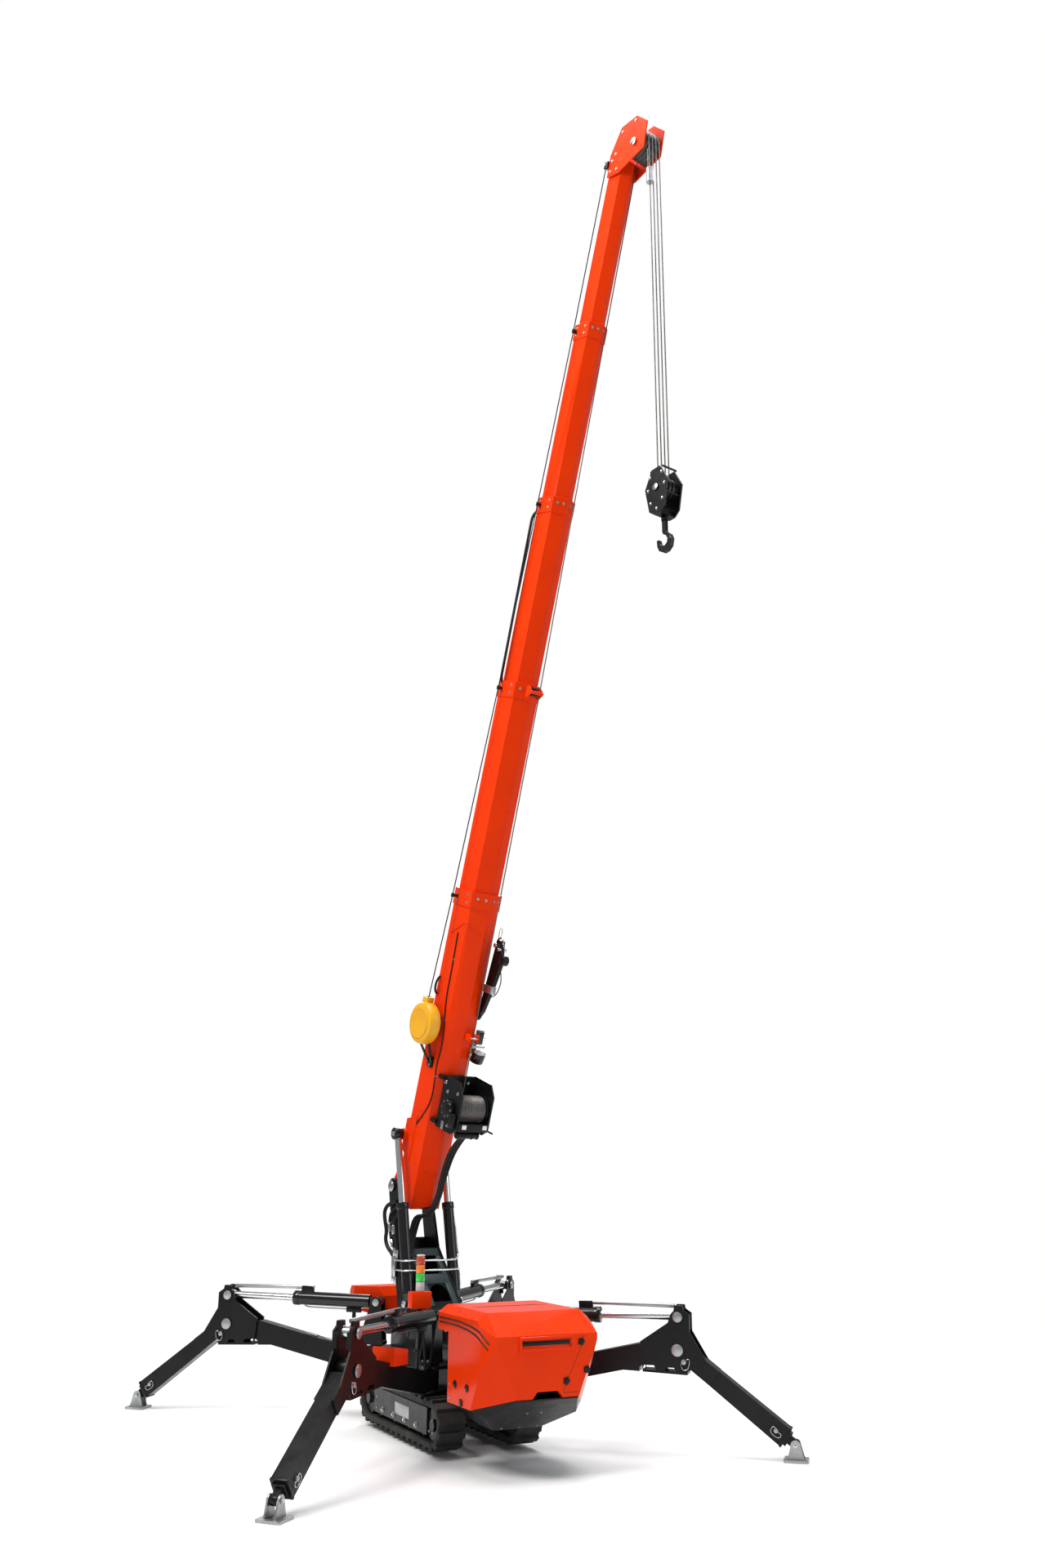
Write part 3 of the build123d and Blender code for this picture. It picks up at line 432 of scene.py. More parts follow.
def cross_bar(distance, drop, start, end, radius, rounding, sides, step=None):
    """A round bar that runs sideways on the boom, from one side distance to another."""
    return round_bar(on_boom(distance, drop, start), on_boom(distance, drop, end), radius,
                     rounding, sides, step)


def boom_bars(*rows):
    """Bars across the boom: name, coat, centre, sides it runs between, and its form."""
    for name, coat, centre, ends, *form in rows:
        settle(cross_bar(*centre, *ends, *form), name, "boom_base", coat)


def boom_blocks(*rows):
    """Blocks on the boom: name, coat, spot, size, ways of the third and first sides, rounding."""
    for name, coat, spot, size, ways, rounding in rows:
        settle(block(on_boom(*spot), size, *ways, rounding), name, "boom_base", coat)


def boom_hoses(*rows):
    """Hoses and wires on the boom: name, coat, radius, spots."""
    for name, coat, radius, spots in rows:
        hose([on_boom(*spot) for spot in spots], radius, name, "boom_base", coat)


# Shared shader groups -------------------------------------------------------------------------

def new_group(name, inputs, outputs):
    """A shader node group with float or colour sockets, and its two ends."""
    group = bpy.data.node_groups.new(name, "ShaderNodeTree")
    for socket, default in inputs:
        kind = "NodeSocketColor" if isinstance(default, tuple) else "NodeSocketFloat"
        entry = group.interface.new_socket(socket, in_out="INPUT", socket_type=kind)
        entry.default_value = default
    for socket, kind in outputs:
        group.interface.new_socket(socket, in_out="OUTPUT", socket_type=kind)
    return group, group.nodes.new("NodeGroupInput"), group.nodes.new("NodeGroupOutput")


def node(tree, kind, **settings):
    """A new node with its settings and socket defaults (sockets by name in values)."""
    made = tree.nodes.new(kind)
    values = settings.pop("values", {})
    for key, value in settings.items():
        setattr(made, key, value)
    for key, value in values.items():
        made.inputs[key].default_value = value
    return made


def maths(tree, operation, first, second=0.5, clamp=False):
    """A maths node; its inputs are sockets or numbers."""
    made = node(tree, "ShaderNodeMath", operation=operation, use_clamp=clamp)
    for index, value in enumerate((first, second)):
        if hasattr(value, "is_output"):
            tree.links.new(value, made.inputs[index])
        else:
            made.inputs[index].default_value = value
    return made.outputs[0]


def blend_colour(tree, factor, first, second, mode="MIX"):
    """A colour mix node; its inputs are sockets or colours."""
    made = node(tree, "ShaderNodeMix", data_type="RGBA", blend_type=mode)
    for key, value in ((0, factor), (6, first), (7, second)):
        if hasattr(value, "is_output"):
            tree.links.new(value, made.inputs[key])
        else:
            made.inputs[key].default_value = value
    return made.outputs[2]


def stretch(tree, value, low, high, out_low=0.0, out_high=1.0):
    """A map range node on one value."""
    made = node(tree, "ShaderNodeMapRange", values={1: low, 2: high, 3: out_low, 4: out_high})
    tree.links.new(value, made.inputs[0])
    return made.outputs[0]


def noise(tree, place, scale, detail=3.0, rough=0.55):
    """A noise value over a place."""
    values = {"Scale": scale, "Detail": detail, "Roughness": rough}
    made = node(tree, "ShaderNodeTexNoise", values=values)
    tree.links.new(place, made.inputs["Vector"])
    return made.outputs["Fac"]


def build_groups():
    """The groups every material shares: edge wear, dust, paint skin and grain."""
    group, ends, out = new_group(
        "Edge wear", (("Size", 0.004), ("Amount", 0.5)), (("Mask", "NodeSocketFloat"),))
    place = node(group, "ShaderNodeTexCoord").outputs["Object"]
    rounded = node(group, "ShaderNodeBevel", samples=4)
    group.links.new(ends.outputs["Size"], rounded.inputs["Radius"])
    flat = node(group, "ShaderNodeNewGeometry").outputs["Normal"]
    turn = node(group, "ShaderNodeVectorMath", operation="DOT_PRODUCT")
    group.links.new(rounded.outputs[0], turn.inputs[0])
    group.links.new(flat, turn.inputs[1])
    edge = stretch(group, turn.outputs["Value"], 0.995, 0.88)
    broken = stretch(group, noise(group, place, 38.0, 4.0), 0.45, 0.62)
    mask = maths(group, "MULTIPLY", edge, broken)
    mask = maths(group, "MULTIPLY", mask, ends.outputs["Amount"], True)
    group.links.new(mask, out.inputs["Mask"])

    group, ends, out = new_group(
        "Dust", (("Amount", 0.3), ("Reach", 1.2)), (("Mask", "NodeSocketFloat"),))
    place = node(group, "ShaderNodeTexCoord").outputs["Object"]
    parts = node(group, "ShaderNodeSeparateXYZ")
    group.links.new(place, parts.inputs[0])
    low = node(group, "ShaderNodeMapRange", values={1: 0.0, 3: 1.0, 4: 0.12})
    group.links.new(parts.outputs[2], low.inputs[0])
    group.links.new(ends.outputs["Reach"], low.inputs[2])
    facing = node(group, "ShaderNodeSeparateXYZ")
    group.links.new(node(group, "ShaderNodeNewGeometry").outputs["Normal"], facing.inputs[0])
    up = stretch(group, facing.outputs[2], -0.1, 1.0, 0.25, 1.0)
    patches = stretch(group, noise(group, place, 7.0, 5.0, 0.62), 0.38, 0.66)
    mask = maths(group, "MULTIPLY", maths(group, "MULTIPLY", low.outputs[0], up), patches)
    mask = maths(group, "MULTIPLY", mask, ends.outputs["Amount"], True)
    group.links.new(mask, out.inputs["Mask"])

    group, ends, out = new_group(
        "Skin", (("Fine", 260.0), ("Broad", 3.0)),
        (("Height", "NodeSocketFloat"), ("Tone", "NodeSocketFloat"), ("Smudge", "NodeSocketFloat")))
    place = node(group, "ShaderNodeTexCoord").outputs["Object"]
    fine = node(group, "ShaderNodeTexNoise", values={"Detail": 2.0})
    group.links.new(place, fine.inputs["Vector"])
    group.links.new(ends.outputs["Fine"], fine.inputs["Scale"])
    broad = node(group, "ShaderNodeTexNoise", values={"Detail": 3.0, "Roughness": 0.6})
    group.links.new(place, broad.inputs["Vector"])
    group.links.new(ends.outputs["Broad"], broad.inputs["Scale"])
    group.links.new(fine.outputs["Fac"], out.inputs["Height"])
    group.links.new(stretch(group, broad.outputs["Fac"], 0.3, 0.7), out.inputs["Tone"])
    smudge = stretch(group, noise(group, place, 11.0, 6.0, 0.7), 0.42, 0.7)
    group.links.new(smudge, out.inputs["Smudge"])


def use_group(tree, name, **values):
    """A node that uses one of the shared groups."""
    made = node(tree, "ShaderNodeGroup", node_tree=bpy.data.node_groups[name])
    for key, value in values.items():
        made.inputs[key].default_value = value
    return made


DUST_COLOUR = (0.33, 0.29, 0.23, 1)
COAT_ROUGHNESS = 0.08
SKIN_DEPTH = 0.002
LENS_GLOW = 0.25


def painted(name, colour, second, rough, wear=0.3, bare=(0.16, 0.15, 0.14), dust=0.1,
            reach=1.2, coat=0.0, metal=0.0, bump=0.06, fine=260.0, bare_metal=0.6, shine=0.5):
    """A coated surface: tone changes, worn edges, dust near the floor, and a fine skin."""
    material = bpy.data.materials.new(name)
    material.use_nodes = True
    tree = material.node_tree
    shader = tree.nodes["Principled BSDF"]
    skin = use_group(tree, "Skin", Fine=fine)
    wear_mask = use_group(tree, "Edge wear", Amount=wear).outputs["Mask"]
    dust_mask = use_group(tree, "Dust", Amount=dust, Reach=reach).outputs["Mask"]
    tone = blend_colour(tree, skin.outputs["Tone"], (*colour, 1), (*second, 1))
    worn = blend_colour(tree, wear_mask, tone, (*bare, 1))
    dusty = blend_colour(tree, dust_mask, worn, DUST_COLOUR)
    tree.links.new(dusty, shader.inputs["Base Color"])
    gloss = stretch(tree, skin.outputs["Smudge"], 0.0, 1.0, rough[0], rough[1])
    rougher = maths(tree, "ADD", gloss, maths(tree, "MULTIPLY", dust_mask, 0.5), True)
    tree.links.new(rougher, shader.inputs["Roughness"])
    if metal:
        shader.inputs["Metallic"].default_value = metal
    else:
        tree.links.new(maths(tree, "MULTIPLY", wear_mask, bare_metal), shader.inputs["Metallic"])
    shader.inputs["Specular IOR Level"].default_value = shine
    if coat:
        tree.links.new(stretch(tree, dust_mask, 0.0, 0.6, coat, 0.0), shader.inputs["Coat Weight"])
        shader.inputs["Coat Roughness"].default_value = COAT_ROUGHNESS
    raised = node(tree, "ShaderNodeBump", values={"Strength": bump, "Distance": SKIN_DEPTH})
    tree.links.new(skin.outputs["Height"], raised.inputs["Height"])
    tree.links.new(raised.outputs[0], shader.inputs["Normal"])
    return material


def scaled(colour, red, green, blue):
    """A colour with each part scaled."""
    return colour[0] * red, colour[1] * green, colour[2] * blue


def build_materials(look):
    """Every finish of the crane."""
    build_groups()
    orange, yellow = tuple(look.orange), tuple(look.yellow)
    painted("Orange paint", orange, scaled(orange, 0.93, 0.88, 0.88), (0.22, 0.3), coat=0.015,
            dust=0.02, reach=1.6, shine=0.07)
    painted("Black paint", (0.004, 0.0043, 0.005), (0.006, 0.0063, 0.007), (0.28, 0.4), wear=0.35,
            dust=0.04, shine=0.22)
    painted("Gloss black", (0.006, 0.0065, 0.007), (0.008, 0.008, 0.009), (0.12, 0.2), dust=0.04,
            coat=0.3, shine=0.3)
    painted("Chrome", (0.72, 0.73, 0.74), (0.68, 0.69, 0.7), (0.2, 0.26), wear=0.0, metal=1.0,
            dust=0.0, bump=0.0)
    painted("Bright steel", (0.62, 0.62, 0.61), (0.5, 0.5, 0.49), (0.16, 0.3), wear=0.1,
            metal=1.0, dust=0.08, bump=0.03)
    painted("Grey paint", (0.12, 0.125, 0.13), (0.17, 0.175, 0.18), (0.4, 0.55), dust=0.15)
    # Painted sky reflection: the blue-grey sheen that the post's front web shows where it faces
    # forward and up
    painted("Painted sky reflection", (0.032, 0.052, 0.056), (0.042, 0.064, 0.068), (0.3, 0.42),
            dust=0.05, shine=0.3)
    painted("Galvanised", (0.46, 0.47, 0.48), (0.36, 0.37, 0.38), (0.34, 0.5), wear=0.2,
            metal=0.9, dust=0.2, bump=0.1, fine=120.0)
    painted("Track rubber", (0.009, 0.009, 0.009), (0.015, 0.0148, 0.014), (0.72, 0.9), wear=0.5,
            bare=(0.05, 0.048, 0.045), dust=0.16, reach=0.6, bump=0.35, fine=140.0,
            bare_metal=0.0)
    painted("Engine iron", (0.03, 0.03, 0.031), (0.02, 0.02, 0.021), (0.5, 0.7))
    painted("Yellow plastic", yellow, (*scaled(yellow, 0.9, 0.85, 0)[:2], 0.004), (0.34, 0.48),
            wear=0.15, bare=(0.5, 0.3, 0.03), dust=0.12, bump=0.08, fine=420.0, bare_metal=0.0)
    painted("Lamp white", (0.62, 0.63, 0.62), (0.54, 0.55, 0.55), (0.35, 0.5), wear=0.1,
            bare=(0.4, 0.4, 0.38), bare_metal=0.0)
    painted("Sheave plastic", (0.035, 0.034, 0.032), (0.05, 0.048, 0.045), (0.4, 0.6), wear=0.2,
            dust=0.35)
    painted("Rubber hose", (0.012, 0.012, 0.012), (0.016, 0.016, 0.016), (0.42, 0.6), wear=0.1,
            dust=0.05, bump=0.25, fine=500.0, bare_metal=0.0, shine=0.2)
    painted("Steel rope", (0.2, 0.195, 0.185), (0.12, 0.118, 0.11), (0.38, 0.55), wear=0.1,
            metal=0.85, bump=0.5, fine=600.0)
    for name, colour in (("Lamp red", (0.42, 0.045, 0.01)), ("Lamp amber", (0.72, 0.2, 0.01)),
                         ("Lamp green", (0.03, 0.55, 0.06))):
        lens = painted(name, colour, scaled(colour, 0.8, 0.8, 0.8), (0.08, 0.16), wear=0.0,
                       dust=0.05, coat=0.6, bare_metal=0.0)
        glow = lens.node_tree.nodes["Principled BSDF"].inputs
        glow["Emission Strength"].default_value = LENS_GLOW
        glow["Emission Color"].default_value = (*colour, 1)


# How a CAD node's name starts, and its finish. The other nodes are painted black
NODE_FINISHES = (
    ("track_left", "Track rubber"), ("track_right", "Track rubber"),
    ("engine_hood", "Orange paint"), ("engine_block", "Engine iron"),
    ("rear_cover", "Orange paint"), ("arm_guard", "Orange paint"),
    ("boom_section", "Orange paint"), ("boom_head", "Orange paint"),
    ("rope_guide", "Orange paint"), ("lift_cylinder_barrels", "Gloss black"),
    ("lift_cylinder_rods", "Chrome"), ("leg_cylinder_barrel", "Gloss black"),
    ("leg_cylinder_rod", "Chrome"), ("foot_pad", "Galvanised"),
    ("limit_switch_weight", "Galvanised"), ("head_sheaves", "Sheave plastic"),
    ("rope_falls", "Steel rope"), ("cable_reel", "Yellow plastic"),
)
# Edges rounded on the CAD nodes: how the name starts, radius, segments
ROUNDED = (
    ("engine_hood", 0.009, 3), ("rear_cover", 0.009, 3), ("belly_tray", 0.004, 2),
    ("boom_section", 0.004, 2), ("boom_head", 0.002, 2), ("inner_arm", 0.003, 2),
    ("outer_leg", 0.002, 2), ("leg_extension", 0.003, 2), ("chassis_frame", 0.003, 2),
    ("slewing_post", 0.003, 2), ("arm_guard", 0.002, 2), ("foot_pad", 0.002, 2),
    ("track_left", 0.003, 2), ("track_right", 0.003, 2), ("track_frame", 0.003, 2),
    ("hook_block", 0.002, 2), ("hook_stow", 0.002, 2), ("winch_frame", 0.002, 2),
    ("hook", 0.004, 2), ("rope_guide", 0.001, 1),
)
WELD_DISTANCE = 0.00005


def finish_for(name):
    """The finish of a CAD node."""
    for start, finish in NODE_FINISHES:
        if name.startswith(start):
            return finish
    return "Black paint"


def dress_nodes(frame):
    """Give every CAD node its finish."""
    for name, piece in frame["nodes"].items():
        if name == "stack_light":
            continue
        piece.data.materials.clear()
        piece.data.materials.append(bpy.data.materials[finish_for(name)])
        for start, width, segments in ROUNDED:
            if name.startswith(start):
                weld = piece.modifiers.new("weld", "WELD")
                weld.merge_threshold = WELD_DISTANCE
                bevel = piece.modifiers.new("edges", "BEVEL")
                bevel.width = width
                bevel.segments = segments
                bevel.limit_method = "ANGLE"
                bevel.angle_limit = NODE_EDGE_ANGLE
                bevel.harden_normals = True
                bevel.use_clamp_overlap = True


# Pieces ----------------------------------------------------------------------------------------

def build_stack_light():
    """The lamp column on its box and bent bracket."""
    spot = Vector((-0.300, MIDDLE_Y - 0.330, 0))
    for name, coat, place, size, rounding in (
        ("Stack light box", "orange", (0, 0, 0.942), (0.156, 0.080, 0.114), 0.006),
        ("Stack light upright", "black", (0, 0, 0.745), (0.036, 0.036, 0.274), 0.003),
        ("Stack light arm", "black", (0.057, 0, 0.606), (0.184, 0.042, 0.011), 0.002),
    ):
        settle(block(spot + Vector(place), size, rounding=rounding), name, "chassis", coat)
    for low, high, radius, colour in (
        (1.000, 1.062, 0.031, "white"), (1.064, 1.120, 0.032, "green"),
        (1.122, 1.178, 0.032, "amber"), (1.180, 1.236, 0.032, "red"),
        (1.237, 1.249, 0.030, "white"),
    ):
        ring = round_bar(spot + TRUE_UP * low, spot + TRUE_UP * high, radius, 0.004, 40)
        settle(ring, f"Lamp {colour} ring {low}", "chassis", "lamp " + colour)
        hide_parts("stack_light")


def build_rope_windings():
    """The rope wound on the winch's drum."""
    turns, pitch = 23, 0.0102
    clear_selection()
    bpy.ops.mesh.primitive_torus_add(
        location=(0, 0, 0), major_radius=0.100, minor_radius=0.005, major_segments=48,
        minor_segments=8)
    turn = bpy.context.object
    repeat = turn.modifiers.new("turns", "ARRAY")
    repeat.count = turns
    repeat.use_relative_offset = False
    repeat.use_constant_offset = True
    repeat.constant_offset_displace = (0, 0, pitch)
    apply_all(turn)
    bpy.ops.object.shade_smooth()
    turn.rotation_euler = aim(LEFTWARD)
    turn.location = on_boom(*WINCH, WINCH_SIDE) - LEFTWARD * 0.112
    settle(turn, "Rope windings", "winch_drum", "rope")


def build_pin_caps():
    """The bolted caps on the outriggers' knee and horn pins."""
    for corner, x_sign, y_sign in CORNERS:
        plane = leg_plane(x_sign, y_sign)
        for label, pin, radius in (("knee", KNEE_PIN, 0.040), ("horn", HORN_PIN, 0.034)):
            for side in (-1, 1):
                cap(f"{label} pin cap {corner} {side}", in_plane(plane, *pin, side * 0.074),
                    plane[2] * side, 0.006, radius, "outer_leg_" + corner, "zinc",
                    rounding=0.0015, step=(0.008, 0.004))


def build_boom_bolts():
    """The pad bolts at the collars of the four outer boom sections."""
    for body, (section, end, width, side_height) in zip(BOOM_BODIES, COLLARS):
        places = []
        for sign in (-1, 1):
            for distance in (end - 0.095, end - 0.035):
                for drop in (-side_height * 0.3, side_height * 0.3):
                    side = sign * (width / 2 + COLLAR_SKIN)
                    places.append((on_boom(distance, SECTION_DROP + drop, side), LEFTWARD * sign))
        for share in (-0.36, -0.14, 0.14, 0.36):
            for start, way in ((0.7, -BOOM_DROP), (-0.5, BOOM_DROP)):
                outside = on_boom(end - 0.050, start, share * width)
                places.append(onto(f"boom_section_{section}", outside, way))
        bolts(f"Collar bolts {section}", places, "zinc", 0.008, 0.006, body)


def build_hood_fittings():
    """The lamp slot, stripes, seams, star knobs, louvre and bolts of the hood and belly."""
    front = MIDDLE_Y - 1.750
    # Recessed panel round the lamp slot: a rim that stands out, a floor, a lower lip, a lens
    panel = block((-0.012, front - 0.003, 0.792), (0.384, 0.018, 0.086), across=(1, 0, 0))
    take(panel)
    for face in panel.data.polygons:
        face.select = face.normal.y < -0.99 and face.area > 0.02
    bpy.ops.object.mode_set(mode="EDIT")
    bpy.ops.mesh.inset(thickness=0.011)
    bpy.ops.mesh.extrude_region_move(TRANSFORM_OT_translate={"value": (0, 0.0095, 0)})
    bpy.ops.object.mode_set(mode="OBJECT")
    settle(panel, "Lamp panel", "chassis", "orange")
    for name, coat, place, size, along, rounding in (
        ("Lamp panel lip", "orange", (-0.012, front - 0.0045, 0.765), (0.352, 0.004, 0.022),
         (0, 0.45, 1), 0.001),
        ("Lamp slot lens", "black", (-0.014, front - 0.0045, 0.795), (0.335, 0.004, 0.026),
         TRUE_UP, 0.0015),
    ):
        settle(block(place, size, along, (1, 0, 0), rounding), name, "chassis", coat)
    # Star knobs: five lobes round a bolt
    knob_sides, hollow = 40, 0.76
    clear_selection()
    bpy.ops.mesh.primitive_cylinder_add(
        vertices=knob_sides, radius=0.024, depth=0.018, location=(0, 0, 0.011))
    knob = bpy.context.object
    for vertex in knob.data.vertices:
        corner = round(atan2(vertex.co.y, vertex.co.x) / (2 * pi / knob_sides))
        if corner % 8 in (3, 4, 5):
            vertex.co.x *= hollow
            vertex.co.y *= hollow
    soften(knob, 0.0025, 2)
    stem = round_bar((0, 0, 0), (0, 0, 0.021), 0.007, 0.001, 20)
    places = all_seen("engine_hood", ((711.3, 1642.5), (693.3, 1690.8), (718.2, 1676.7)))
    places += mirrored(
        all_seen("engine_hood", ((557.2, 1694.7), (571.7, 1700.0), (564.2, 1718.0))))
    stand_copies(join([knob, stem]), "Star knobs", places, "chassis", "black")
    small = mirrored(all_seen("engine_hood", ((549.5, 1694), (549.5, 1711), (545.5, 1629.5))))
    bolts("Hood bolts", small, "bright", 0.006, 0.004, "chassis")
    low = [onto("belly_tray", (x, MIDDLE_Y + y, 0.1), TRUE_UP) for x, y in (
        (-0.130, -1.352), (0.0, -1.352), (0.130, -1.352), (-0.050, -1.560), (0.050, -1.560))]
    bolts("Belly bolts", low, "bright", 0.006, 0.004, "chassis")
    # Stripes that follow the hood's skin, by their corners in the photograph
    for name, corners in (
        ("Upper stripe", ((538.3, 1612.4), (560.0, 1617.5), (576.7, 1624.6), (586.7, 1631.2),
                          (603.0, 1652.0))),
        ("Lower stripe", ((538.3, 1617.6), (558.0, 1622.6), (573.3, 1629.2), (583.0, 1636.0),
                          (601.7, 1659.0))),
    ):
        places = all_seen("engine_hood", stepped(corners, 4))
        for label, lined in (("left", places), ("right", mirrored(places)[len(places):])):
            hose([point for point, _ in lined], 0.0055, f"{name} {label}", "chassis", "black")
    lid = [onto("engine_hood", (x, MIDDLE_Y - 1.190, 1.2), -TRUE_UP)[0]
           for x in (-0.375, -0.34, -0.25, 0, 0.25, 0.34, 0.375)]
    hose(lid, 0.0025, "Lid seam", "chassis", "rubber")
    slats = [block((0.4015, MIDDLE_Y - 1.260, 0.640 + 0.026 * index), (0.006, 0.220, 0.012),
                   (0.5, 0, 1), (1, 0, -0.5), 0.002) for index in range(7)]
    settle(join(slats), "Side louvre", "chassis", "black")
    corners = ((0.262, 0.832), (0.245, 0.770), (0.114, 0.520), (0.113, 0.498), (0.290, 0.500))
    seam = [onto("engine_hood", (x, -3, z), (0, 1, 0))[0] for x, z in stepped(corners, 6)]
    hose(seam, 0.0013, "Panel seam", "chassis", "rubber")


def telescoping_line(name, first, stations, radius, coat):
    """A line up the boom: its first run rides on section 1, each later run is a straight piece
    between two stations, attached to no body.
    """
    start = [on_boom(*spot) for spot in first + stations[:1]]
    hose(start, radius, name + " 1", "boom_base", coat)
    for index, ends in enumerate(zip(stations, stations[1:])):
        low, high = [on_boom(*end) for end in ends]
        run = hose(straight(low, high, 8), radius, f"{name} {index + 2}", None, coat)
        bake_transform(run)


def build_cable_reel():
    """The spring cable reel: a domed ribbed drum, its cover, neck, bracket and sensor cable."""
    drum = cross_bar(*REEL, 0.172, 0.284, 0.164, 0.034, 72)
    settle(drum, "Reel drum", "boom_base", "yellow")
    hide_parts("cable_reel")
    cover = cross_bar(*REEL, 0.281, 0.2895, 0.121, 0.003, 64, (0.012, -0.0015))
    settle(cover, "Reel cover", "boom_base", "yellow")
    ribs = []
    for index in range(10):
        out = outward(2 * pi * index / 10 + 0.2)
        middle = on_boom(*REEL, 0.229) + out * 0.1605
        ribs.append(block(middle, (0.008, 0.010, 0.052), LEFTWARD, LEFTWARD.cross(out)))
    settle(join(ribs), "Reel ribs", "boom_base", "yellow")
    for name, top, low in (
        ("Reel arm front", (1.245, 0.060, 0.262), (1.045, 0.125, 0.152)),
        ("Reel arm back", (1.235, 0.150, 0.208), (1.040, 0.175, 0.148)),
    ):
        top, low = on_boom(*top), on_boom(*low)
        size = (0.026, 0.012, (top - low).length)
        settle(block((top + low) / 2, size, top - low, BOOM_DROP), name, "boom_base", "black")
    boom_blocks(
        ("Reel neck", "yellow", (1.492, 0.062, 0.215), (0.075, 0.062, 0.080), END_ON, 0.006),
        ("Reel mouth", "rubber", (1.531, 0.062, 0.215), (0.036, 0.034, 0.010), END_ON, 0.003),
        ("Reel bracket foot", "black", (1.040, 0.150, 0.141), (0.070, 0.014, 0.080), END_ON, 0.004),
        ("Reel stay", "black", (*REEL, 0.153), (0.150, 0.150, 0.040), SIDE_ON, 0.006),
    )
    places = on_side(((1.015, 0.150), (1.065, 0.150)), 0.148)
    bolts("Reel bracket bolts", places, "zinc", 0.007, 0.005)
    # The sensor cable runs up the boom's left, through a clip at each collar
    stations = [(2.355, 0.067, 0.188), (4.045, 0.080, 0.158), (5.555, 0.086, 0.138),
                (6.995, 0.080, 0.122), (8.395, 0.050, 0.104)]
    telescoping_line("Sensor cable", [(1.530, 0.062, 0.215)], stations, 0.0045, "cable")
    for body, (distance, drop, side), reach in zip(
            BOOM_BODIES, stations, (0.047, 0.032, 0.027, 0.026)):
        stub = block(on_boom(distance, drop, side - reach / 2), (0.022, 0.024, reach), *SIDE_ON)
        ring = round_bar(on_boom(distance - 0.016, drop, side),
                         on_boom(distance + 0.016, drop, side), 0.013, 0.003, 24)
        settle(join([stub, ring]), "Cable clip " + body, body, "rubber")


def build_boom_lines():
    """The winch rope under the boom, the lines along it, its seams, handle and collar lips."""
    telescoping_line(
        "Winch rope", [(0.800, 0.387, -0.060), (1.100, 0.392, -0.052), (1.300, 0.3935, -0.050)],
        [(2.400, 0.382, -0.050), (4.045, 0.362, -0.050), (5.560, 0.320, -0.051),
         (7.000, 0.280, -0.052), (8.480, 0.2435, -0.054)], 0.0048, "rope")
    # Line clipped to the left face, from above the reel down to the foot
    line = all_seen("boom_section_1", (
        (561, 1142), (553, 1190), (547.5, 1216), (545, 1240), (543.5, 1262), (540.5, 1285),
        (535, 1302), (533, 1320), (529, 1345), (522, 1360), (510, 1376)))
    hose([point + LEFTWARD * 0.005 for point, _ in line], 0.005, "Left hose", "boom_base", "rubber")
    spots = all_seen("boom_section_1", ((555.5, 1175), (544.6, 1250), (533, 1318)))
    clip = block((0, 0, 0.006), (0.030, 0.012, 0.014))
    stand_copies(clip, "Hose clips", spots, "boom_base", "zinc")
    for number, seam in enumerate((
        ((552.5, 1142), (557, 1138.6), (568.5, 1130.2), (572.5, 1131), (577, 1136.2),
         (582.3, 1141.8), (587, 1144), (594, 1145)),
        ((512, 1358.8), (515, 1360.4), (520, 1362.8), (526, 1369), (530.7, 1374.5), (538, 1378.6)),
        ((519, 1434.8), (524, 1436.8), (529, 1438.6), (533, 1440.2)),
    )):
        weld = [point + way * 0.0034 for point, way in all_seen("boom_section_1", seam)]
        hose(weld, 0.0035, f"Plate seam {number}", "boom_base", "orange")
    low, high = on_boom(4.112, 0.062, 0.138), on_boom(5.470, 0.040, 0.134)
    route = [on_boom(4.090, 0.066, 0.118), *straight(low, high, 12), on_boom(5.500, 0.040, 0.108)]
    conduit = hose(route, 0.011, "Ribbed conduit", None, "rubber")
    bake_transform(conduit)
    for number, shift in ((1, -0.022), (2, 0.022)):
        centre = node_box("rope_guide")[2] + BOOM_RUN * shift
        ends = centre - LEFTWARD * 0.026, centre + LEFTWARD * 0.026
        settle(round_bar(*ends, 0.013, 0.003, 24), f"Guide roller {number}", "boom_2", "rubber")
    boom_hoses(("Boom handle", "rubber", 0.009, (
        (1.560, 0.045, 0.136), (1.575, 0.045, 0.160), (1.640, 0.045, 0.166), (1.690, 0.045, 0.150),
        (1.700, 0.045, 0.136))))
    # Rim welds at the start of each collar's cover
    for body, (section, end, width, _) in zip(BOOM_BODIES, COLLARS):
        for sign in (-1, 1):
            place = on_boom(end - 0.120, SECTION_DROP, sign * (width / 2 + COLLAR_SKIN - 0.0065))
            plate = block(place, (0.020, 0.160 - section * 0.014, 0.006), *SIDE_ON, 0.002)
            settle(plate, f"Collar lip {section} {sign}", body, "orange")


